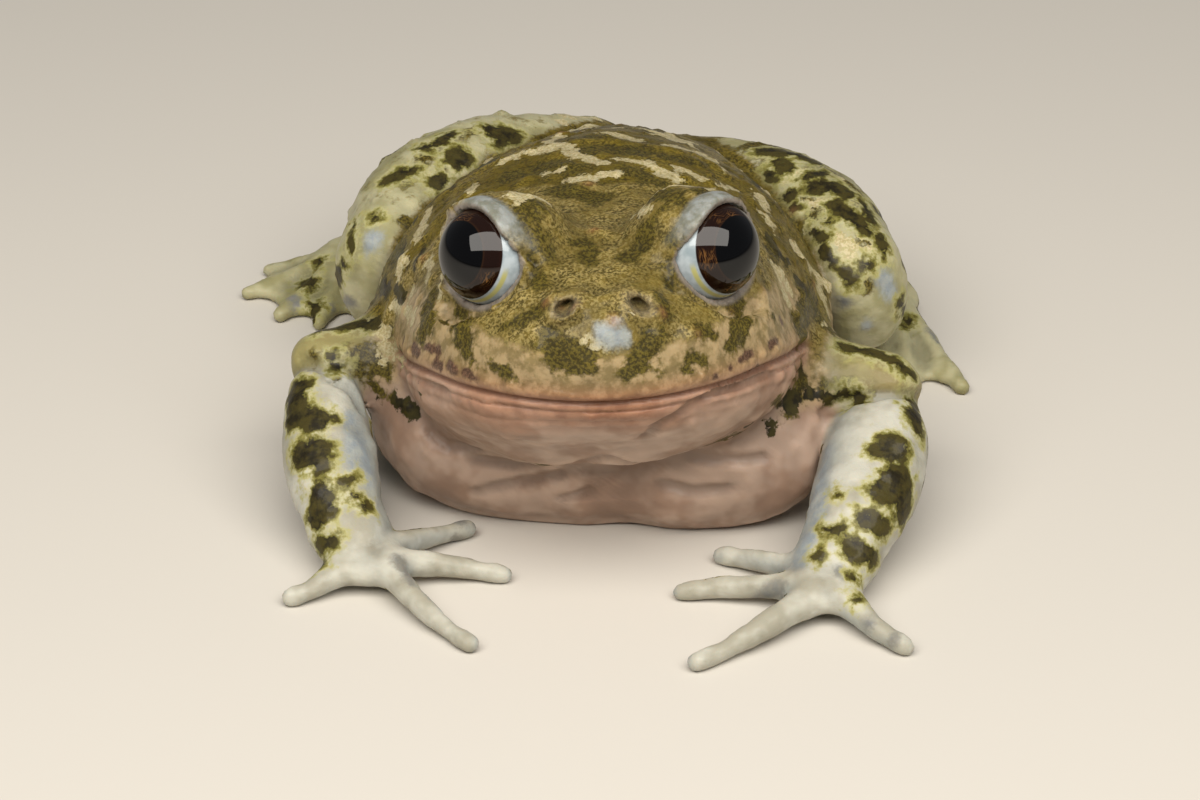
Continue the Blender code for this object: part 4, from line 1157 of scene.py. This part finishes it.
def wetSkin():
    # Moist amphibian skin, grown: granular pigment under a thin film, with painted shade and light in its
    # folds, at the mouth's line and at the lips.
    # It gives a soft, mottled body with small sharp lights.
    material, tree, shader = newMaterial("wetSpadefootSkin")
    look = skinLook
    place = addNode(tree, "ShaderNodeTexCoord", out=3)
    names = (
        "back", "nape", "arm", "leg", "throat", "lid", "rim", "level", "inner", "wet", "upper", "dark",
        "moss", "brown", "pale", "blue", "grey", "tip", "bare", "lipBounceAndShadeAmount", "fold",
    )
    field = {name: addNode(tree, "ShaderNodeAttribute", out=2, attribute_name=name) for name in names}
    noise, pattern = {}, {}
    for name in ("grain", "mottle", "patch"):
        width, low, high = look[name]
        inputs = {"Vector": place, "Scale": 1 / width, "Detail": 3.0, "Roughness": 0.6}
        noise[name] = addNode(tree, "ShaderNodeTexNoise", inputs)
        inputs = {0: noise[name], 1: low, 2: high}
        pattern[name] = addNode(tree, "ShaderNodeMapRange", inputs, interpolation_type="SMOOTHSTEP")
    paint = {}
    for name, value in look.items():
        if isinstance(value, tuple) and value[2] in pattern:
            inputs = {0: pattern[value[2]], 6: linear(value[0]), 7: linear(value[1])}
            paint[name] = addNode(tree, "ShaderNodeMix", inputs, out=2, data_type="RGBA")
    # ragged edges: mottles and grains move each mark's outline
    inputs = {0: noise["mottle"], 1: 2.6, 2: -1.6}
    ragged = addNode(tree, "ShaderNodeMath", inputs, operation="MULTIPLY_ADD")
    inputs = {0: noise["grain"], 1: 0.6, 2: ragged}
    ragged = addNode(tree, "ShaderNodeMath", inputs, operation="MULTIPLY_ADD")
    edge = {}
    for name, (warp, low, high) in look["edges"].items():
        inputs = {0: ragged, 1: warp, 2: field["dark" if name in ("halo", "ring") else name]}
        moved = addNode(tree, "ShaderNodeMath", inputs, operation="MULTIPLY_ADD")
        inputs = {0: moved, 1: low, 2: high}
        edge[name] = addNode(tree, "ShaderNodeMapRange", inputs, interpolation_type="SMOOTHSTEP")
    limbs = addNode(tree, "ShaderNodeMath", {0: field["arm"], 1: field["leg"]}, operation="MAXIMUM")
    # a dark band along the mouth's line: painted shade in its groove
    nearLine = addNode(tree, "ShaderNodeMath", {0: field["level"]}, operation="ABSOLUTE")
    line = addNode(tree, "ShaderNodeMapRange", {0: nearLine, 1: 0.26, 2: 0.05, 4: 0.6})
    part = {
        "halo": (edge["halo"], limbs), "ring": (edge["ring"], limbs), "line": (line, field["bare"]),
        "grains": (pattern["grain"], edge["back"]), "napeGrains": (pattern["grain"], edge["nape"]),
    }
    for name, (first, second) in part.items():
        edge[name] = addNode(tree, "ShaderNodeMath", {0: first, 1: second}, operation="MULTIPLY")
    colour = paint["face"]
    layers = (
        (limbs, "limb"), (field["leg"], "thigh"), (field["inner"], "inner"), (field["upper"], "upper"),
        (edge["throat"], "under"), (edge["back"], "olive"), (edge["grains"], "grains"),
        (edge["nape"], "nape"), (edge["napeGrains"], "napeGrains"),
        (field["lipBounceAndShadeAmount"], "lipBounceAndShade"), (edge["moss"], "moss"),
        (edge["brown"], "brown"), (edge["pale"], "pale"), (edge["blue"], "blue"), (edge["grey"], "grey"),
        (edge["halo"], "halo"), (edge["ring"], "ring"), (field["lid"], "lid"), (edge["dark"], "dark"),
        (field["rim"], "rim"), (edge["line"], "line"), (field["tip"], "tip"),
    )
    for amount, name in layers:
        inputs = {0: amount, 6: colour, 7: paint[name]}
        colour = addNode(tree, "ShaderNodeMix", inputs, out=2, data_type="RGBA")
    # painted shade and light: folds are darker, ridges a little lighter
    shade = addNode(tree, "ShaderNodeMapRange", {0: field["fold"], 1: -1.0, 2: 1.0, 3: 1.12, 4: 0.72})
    colour = addNode(tree, "ShaderNodeVectorMath", {0: colour, 3: shade}, operation="SCALE")
    tree.links.new(colour, shader.inputs["Base Color"])
    inputs = {"Vector": place, "Scale": 1 / look["grainWidth"]}
    granule = addNode(tree, "ShaderNodeTexVoronoi", inputs, feature="SMOOTH_F1")
    inputs = {0: granule, 1: -1.0, 2: noise["grain"]}
    height = addNode(tree, "ShaderNodeMath", inputs, operation="MULTIPLY_ADD")
    strong = addNode(tree, "ShaderNodeMapRange", {0: field["back"], 3: 0.6, 4: 1.0})
    height = addNode(tree, "ShaderNodeMath", {0: height, 1: strong}, operation="MULTIPLY")
    smooth = addNode(tree, "ShaderNodeMapRange", {0: field["throat"], 3: 1.0, 4: 0.25})
    height = addNode(tree, "ShaderNodeMath", {0: height, 1: smooth}, operation="MULTIPLY")
    inputs = {"Height": height, "Strength": 0.6, "Distance": look["grainHeight"]}
    bump = addNode(tree, "ShaderNodeBump", inputs)
    tree.links.new(bump, shader.inputs["Normal"])
    dry = addNode(tree, "ShaderNodeMapRange", {0: noise["mottle"], 1: 0.3, 2: 0.7, 3: 0.46, 4: 0.66})
    tree.links.new(dry, shader.inputs["Roughness"])
    shader.inputs["Specular IOR Level"].default_value = 0.22
    film = addNode(tree, "ShaderNodeMapRange", {0: field["wet"], 3: 0.18, 4: 0.42})
    tree.links.new(film, shader.inputs["Coat Weight"])
    shader.inputs["Coat Roughness"].default_value = 0.12
    shader.inputs["Subsurface Weight"].default_value = 0.12
    shader.inputs["Subsurface Radius"].default_value = (1.0, 0.5, 0.28)
    shader.inputs["Subsurface Scale"].default_value = 0.0008
    return material


eyeLook = {
    "pupil": "#030304",
    "iris": "#1a0c07",
    "thread": "#74502a",  # gold
    "fringe": "#74502a",
    "rim": "#1f0e08",
    "white": ("#b7c1c6", "#93a0a6"),
    "yellow": "#bdb977",
    "pupilAngle": 38.5,  # degrees from the eye's axis
    "irisAngle": 60.0,
    "streakAngle": 66.5,
    "threadWave": 0.0011,  # metres between the bends of the iris's threads
}


def wetEye():
    # Living eye under a clear cornea: black pupil, brown iris with gold threads and a pale blue white.
    # Its wet surface gives one sharp reflection of the light.
    material, tree, shader = newMaterial("wetEye")
    look = eyeLook
    polar = addNode(tree, "ShaderNodeAttribute", out=2, attribute_name="polar")
    around = addNode(tree, "ShaderNodeAttribute", out=2, attribute_name="around")
    place = addNode(tree, "ShaderNodeTexCoord", out=3)
    inputs = {"Vector": place, "Scale": 1 / look["threadWave"], "Detail": 3.0}
    wavy = addNode(tree, "ShaderNodeTexNoise", inputs)
    inputs = {"Vector": place, "Scale": 0.45 / look["threadWave"], "Detail": 2.0}
    patchy = addNode(tree, "ShaderNodeTexNoise", inputs)
    bent = addNode(tree, "ShaderNodeMath", {0: wavy, 1: 14.0, 2: polar}, operation="MULTIPLY_ADD")
    ringed = addNode(tree, "ShaderNodeMath", {0: bent, 1: 0.36}, operation="MULTIPLY")
    spoked = addNode(tree, "ShaderNodeMath", {0: around, 1: 0.05}, operation="MULTIPLY")
    flat = addNode(tree, "ShaderNodeCombineXYZ", {0: spoked, 1: ringed})
    inputs = {"Vector": flat, "Scale": 1.0}
    threads = addNode(tree, "ShaderNodeTexVoronoi", inputs, feature="DISTANCE_TO_EDGE")
    pupil, iris, streak = look["pupilAngle"], look["irisAngle"], look["streakAngle"]
    fromStreak = addNode(tree, "ShaderNodeMath", {0: polar, 1: streak}, operation="SUBTRACT")
    fromStreak = addNode(tree, "ShaderNodeMath", {0: fromStreak}, operation="ABSOLUTE")
    # source, value where the layer starts and value where it is full
    ramps = {
        "thread": (threads, 0.085, 0.01),
        "share": (patchy, 0.46, 0.68),
        "fringe": (polar, pupil + 2.4, pupil + 0.8),
        "pupil": (polar, pupil + 0.6, pupil - 0.6),
        "rim": (polar, iris - 6.0, iris - 1.5),
        "white": (polar, iris - 0.6, iris + 0.8),
        "cloud": (wavy, 0.35, 0.7),
        "streak": (fromStreak, 4.5, 1.5),
        "low": (around, 84.0, 98.0),
    }
    mask = {}
    for name, (source, low, high) in ramps.items():
        inputs = {0: source, 1: low, 2: high}
        mask[name] = addNode(tree, "ShaderNodeMapRange", inputs, interpolation_type="SMOOTHSTEP")
    for name, other in (("thread", mask["share"]), ("streak", mask["low"]), ("fringe", 0.06)):
        mask[name] = addNode(tree, "ShaderNodeMath", {0: mask[name], 1: other}, operation="MULTIPLY")
    inputs = {0: mask["cloud"], 6: linear(look["white"][0]), 7: linear(look["white"][1])}
    white = addNode(tree, "ShaderNodeMix", inputs, out=2, data_type="RGBA")
    inputs = {0: mask["streak"], 6: white, 7: linear(look["yellow"])}
    white = addNode(tree, "ShaderNodeMix", inputs, out=2, data_type="RGBA")
    colour = linear(look["iris"])
    for name in ("thread", "fringe", "pupil", "rim", "white"):
        paint = white if name == "white" else linear(look[name])
        inputs = {0: mask[name], 6: colour, 7: paint}
        colour = addNode(tree, "ShaderNodeMix", inputs, out=2, data_type="RGBA")
    tree.links.new(colour, shader.inputs["Base Color"])
    shader.inputs["Roughness"].default_value = 0.03
    shader.inputs["IOR"].default_value = 1.45
    return material


def makeEye(side, material):
    # ball in the eye's own directions: centre + radius x (cos p axis + sin p (cos a rise + sin a inner)),
    # with the cornea standing out by a cosine bell inside the iris's edge
    centre, axis, rise, inner = eyeFrame(side)
    polar = np.radians(np.concatenate([np.linspace(0.0, 90.0, 61), np.linspace(95.0, 180.0, 18)]))
    around = np.linspace(-math.pi, math.pi, 97)[:-1]
    p, a = np.meshgrid(polar[1:-1], around, indexing="ij")
    swell = 1.0 + eyeShape["cornea"] * np.clip(np.cos(p * 90.0 / eyeLook["irisAngle"]), 0.0, 1.0)
    radius = eyeShape["radius"] * swell
    sideways = np.cos(a)[..., None] * rise + np.sin(a)[..., None] * inner
    ways = np.cos(p)[..., None] * axis + np.sin(p)[..., None] * sideways
    rings = (centre + radius[..., None] * ways).reshape(-1, 3)
    top = centre + axis * eyeShape["radius"] * (1.0 + eyeShape["cornea"])
    points = np.vstack([top, rings, centre - axis * eyeShape["radius"]])
    faces = ringFaces(*p.shape, len(points))
    if sideSigns[side] < 0:
        faces = [face[::-1] for face in faces]
    piece = listedObject(f"eye_{side}_ball", points, faces, material)
    addField(piece, "polar", np.degrees(np.concatenate([[0.0], p.ravel(), [math.pi]])))
    addField(piece, "around", np.degrees(np.concatenate([[0.0], a.ravel(), [0.0]])))
    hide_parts(f"eye_{side}")
    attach(piece, "root")


spadeShape = {
    "length": 4.6,
    "width": 1.3,
    "height": 2.2,
    "inward": 2.0,  # from the sole's middle line to the blade's root
    "ahead": 1.6,
    "level": 0.42,  # height of the blade's middle, as a share of its height
    "lean": 0.35,  # how far the free edge leans outwards, as a share of the height
}
spadeLook = {"horn": ("#c3aa76", "#8f7242"), "band": 0.0007}


def hornSpade():
    # Keratin of the digging spade: pale straw horn with fine growth bands.
    # Worn smooth by soil, it takes a soft satin light.
    material, tree, shader = newMaterial("spadeHorn")
    place = addNode(tree, "ShaderNodeTexCoord", out=3)
    inputs = {"Vector": place, "Scale": 1 / spadeLook["band"], "Detail": 3.0}
    bands = addNode(tree, "ShaderNodeTexNoise", inputs)
    amount = addNode(tree, "ShaderNodeMapRange", {0: bands, 1: 0.4, 2: 0.65})
    inputs = {0: amount, 6: linear(spadeLook["horn"][0]), 7: linear(spadeLook["horn"][1])}
    colour = addNode(tree, "ShaderNodeMix", inputs, out=2, data_type="RGBA")
    tree.links.new(colour, shader.inputs["Base Color"])
    shader.inputs["Roughness"].default_value = 0.32
    return material


def makeSpade(side, material):
    # half-moon blade: an oval of length x height, whose thickness shrinks from 1 at its root towards 0.3 at
    # its free edge with the cosine of the angle v between them
    heel, root = (np.array(legShape["tarsus"][side][k][:2]) for k in (1, 2))
    along = unit(root - heel)
    inward = np.array((-along[1], along[0])) * -sideSigns[side]
    middle = root + along * spadeShape["ahead"] + inward * spadeShape["inward"]
    rows, columns = np.linspace(0.0, math.pi, 25)[1:-1], np.linspace(0.0, 2 * math.pi, 49)[:-1]
    v, u = np.meshgrid(rows, columns, indexing="ij")
    long = 0.5 * spadeShape["length"] * np.sin(v) * np.cos(u)
    rise = 0.5 * spadeShape["height"] * np.cos(v)
    thin = 0.3 + 0.7 * np.clip(0.5 + 0.5 * np.cos(v), 0.0, 1.0)
    wide = 0.5 * spadeShape["width"] * thin * np.sin(v) * np.sin(u)
    wide -= spadeShape["lean"] * np.minimum(rise, 0.0)
    height = np.maximum(rise + spadeShape["level"] * spadeShape["height"], 0.02)
    flat = middle + long.ravel()[:, None] * along + wide.ravel()[:, None] * inward
    top = (*middle, spadeShape["height"] * (spadeShape["level"] + 0.5))
    bottom = (*(middle + inward * spadeShape["lean"] * 0.5 * spadeShape["height"]), 0.0)
    points = np.vstack([top, np.column_stack((flat, height.ravel())), bottom])
    faces = ringFaces(*v.shape, len(points))
    if sideSigns[side] > 0:
        faces = [face[::-1] for face in faces]
    piece = listedObject(f"spade_{side}_blade", points, faces, material)
    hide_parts(f"spade_{side}")
    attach(piece, "root")


def ringFaces(rows, columns, count):
    # faces between rings of points, with a fan from the first point and another to the last
    index = 1 + np.arange(rows * columns).reshape(rows, columns)
    after = np.roll(index, -1, axis=1)
    quads = np.stack([index[:-1], index[1:], after[1:], after[:-1]], axis=-1).reshape(-1, 4)
    first = np.stack([np.zeros(columns, int), index[0], after[0]], axis=-1)
    last = np.stack([np.full(columns, count - 1), after[-1], index[-1]], axis=-1)
    return quads.tolist() + first.tolist() + last.tolist()


def listedObject(name, points, faces, material):
    mesh = bpy.data.meshes.new(name)
    mesh.from_pydata(((points + animalShift) * mm).tolist(), [], faces)
    mesh.shade_smooth()
    mesh.materials.append(material)
    piece = bpy.data.objects.new(name, mesh)
    bpy.context.scene.collection.objects.link(piece)
    return piece


def makeSkin(material):
    points, quads = skinMesh()
    data, points, edges = refine(points, quads)
    print("skin refined", len(points), "points")
    _, slope = slopeOf(points)
    normals = slope / np.maximum(np.linalg.norm(slope, axis=1), 1e-6)[:, None]
    zone = zones(points, normals)
    picture = pictureOf(points)
    front = facing(normals) > 0.12
    strokes = {
        "dark": darkStrokes, "moss": mossStrokes, "brown": brownStrokes,
        "pale": paleStrokes, "blue": blueStrokes, "grey": greyStrokes,
    }
    marks = {name: strokeField(strokes[name], points, picture, front) for name in strokes}
    hidden = smoothStep(0.22, 0.05, facing(normals)) * smoothStep(0.3, 1.2, points[:, 2])
    along = points * (1.0, 0.55, 1.0)
    limbs = np.maximum(zone["leg"], zone["arm"])
    places = {"dark": limbs, "moss": 1.0 - limbs, "pale": zone["back"]}
    for name, (wavelength, seed, strength, least) in hiddenMarks.items():
        guessed = strength * (ripple(along, wavelength, seed) - least)
        marks[name] = np.maximum(marks[name], np.where(hidden * places[name] > 0.3, guessed, -4.0))
    height, tip = warts(points, normals, np.maximum(zone["back"], 0.5 * zone["leg"]))
    quiet = 1.0 - np.clip(zone["lid"] + zone["rim"], 0.0, 0.85)
    for wavelength, amount, seed in (rippleShape[name] for name in ("long", "short", "fine")):
        height += amount * ripple(points, wavelength, seed)
    creases = strokeField(creaseLines, points, picture, front)
    hollow = strokeField(hollowLines, points, picture, front)
    wavelength, amount, seed = rippleShape["chest"]
    height += amount * zone["throat"] * ripple(points, wavelength, seed)
    height *= quiet * smoothStep(0.0, 1.2, points[:, 2]) * smoothStep(0.2, 1.2, np.abs(zone["level"]))
    height -= creaseDepth * smoothStep(-0.45, 0.3, creases) + hollowDepth * smoothStep(-3.0, 1.2, hollow)
    points = evenOut(data, points + normals * height[:, None], edges)
    # how deep each point lies in a fold, which drives the painted shade in folds and the painted light on
    # ridges
    fold = ((neighbourMean(points, edges) - points) * normals).sum(axis=1)
    for _ in range(foldShape["blur"]):
        fold = neighbourMean(fold, edges)
    data.vertices.foreach_set("co", ((points + animalShift) * mm).ravel())
    data.update()
    data.shade_smooth()
    data.materials.append(material)
    skin = bpy.data.objects.new("skin", data)
    bpy.context.scene.collection.objects.link(skin)
    for name, values in {**zone, **marks}.items():
        if name != "own":
            addField(skin, name, values)
    addField(skin, "tip", 0.35 * tip * quiet * zone["back"])
    addField(skin, "fold", np.clip(fold / foldShape["deep"], -1.0, 1.0))
    bare = smoothStep(-2.0, 2.0, toHead(points)[:, 1]) * (1.0 - zone["arm"]) * zone["own"]
    addField(skin, "bare", bare)
    # painted warm bounce light and painted shade along the mouth's line, strongest at the jaw's middle
    lipBounceAndShadeAmount = smoothStep(2.4, 0.4, zone["level"]) * smoothStep(-4.5, -0.8, zone["level"])
    addField(skin, "lipBounceAndShadeAmount", bare * lipBounceAndShadeAmount * (0.3 + 0.5 * bell(points[:, 0], 9.0)))
    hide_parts(*[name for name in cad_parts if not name.startswith(("eye", "spade"))])
    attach(skin, "root")
    print("triangles", sum(len(polygon.vertices) - 2 for polygon in data.polygons))


# Studio

studio = {
    "floor": "#cfcac1",
    "floorSize": 4.0,
    # turn from the camera's side and rise in degrees, distance and size in metres, power in watts
    "softbox": {
        "turn": 0.0,
        "rise": 58.0,
        "away": 0.30,
        "size": (0.50, 0.23),
        "power": 1.85,
        "colour": "#fffaf2",
    },
    "sky": ("#eceff4", 0.15),
}


def addStudio():
    half = studio["floorSize"] / 2
    mesh = bpy.data.meshes.new("floor")
    corners = [(-half, -half, 0), (half, -half, 0), (half, half, 0), (-half, half, 0)]
    mesh.from_pydata(corners, [], [(0, 1, 2, 3)])
    material, _, shader = newMaterial("studioPaper")
    shader.inputs["Base Color"].default_value = linear(studio["floor"])
    shader.inputs["Roughness"].default_value = 0.85
    floor = bpy.data.objects.new("floor", mesh)
    floor.data.materials.append(material)
    bpy.context.scene.collection.objects.link(floor)
    aim = Vector((0.0, -0.008, 0.012))
    box = studio["softbox"]
    turn, rise = math.radians(box["turn"]), math.radians(box["rise"])
    way = Vector((math.sin(turn) * math.cos(rise), -math.cos(turn) * math.cos(rise), math.sin(rise)))
    data = bpy.data.lights.new("softbox", "AREA")
    data.shape = "RECTANGLE"
    data.size, data.size_y = box["size"]
    data.energy = box["power"]
    data.color = linear(box["colour"])[:3]
    light = bpy.data.objects.new("softbox", data)
    light.location = aim + way * box["away"]
    light.rotation_euler = way.to_track_quat("Z", "Y").to_euler()
    bpy.context.scene.collection.objects.link(light)
    world = bpy.data.worlds.new("studioSky")
    world.use_nodes = True
    sky = world.node_tree.nodes["Background"]
    sky.inputs["Color"].default_value = linear(studio["sky"][0])
    sky.inputs["Strength"].default_value = studio["sky"][1]
    bpy.context.scene.world = world
    bpy.context.scene.view_settings.view_transform = "Standard"


addCamera()
addStudio()
print("camera and studio")
makeSkin(wetSkin())
eyeMaterial = wetEye()
spadeMaterial = hornSpade()
for side in sideSigns:
    makeEye(side, eyeMaterial)
    makeSpade(side, spadeMaterial)
print("eyes and spades")
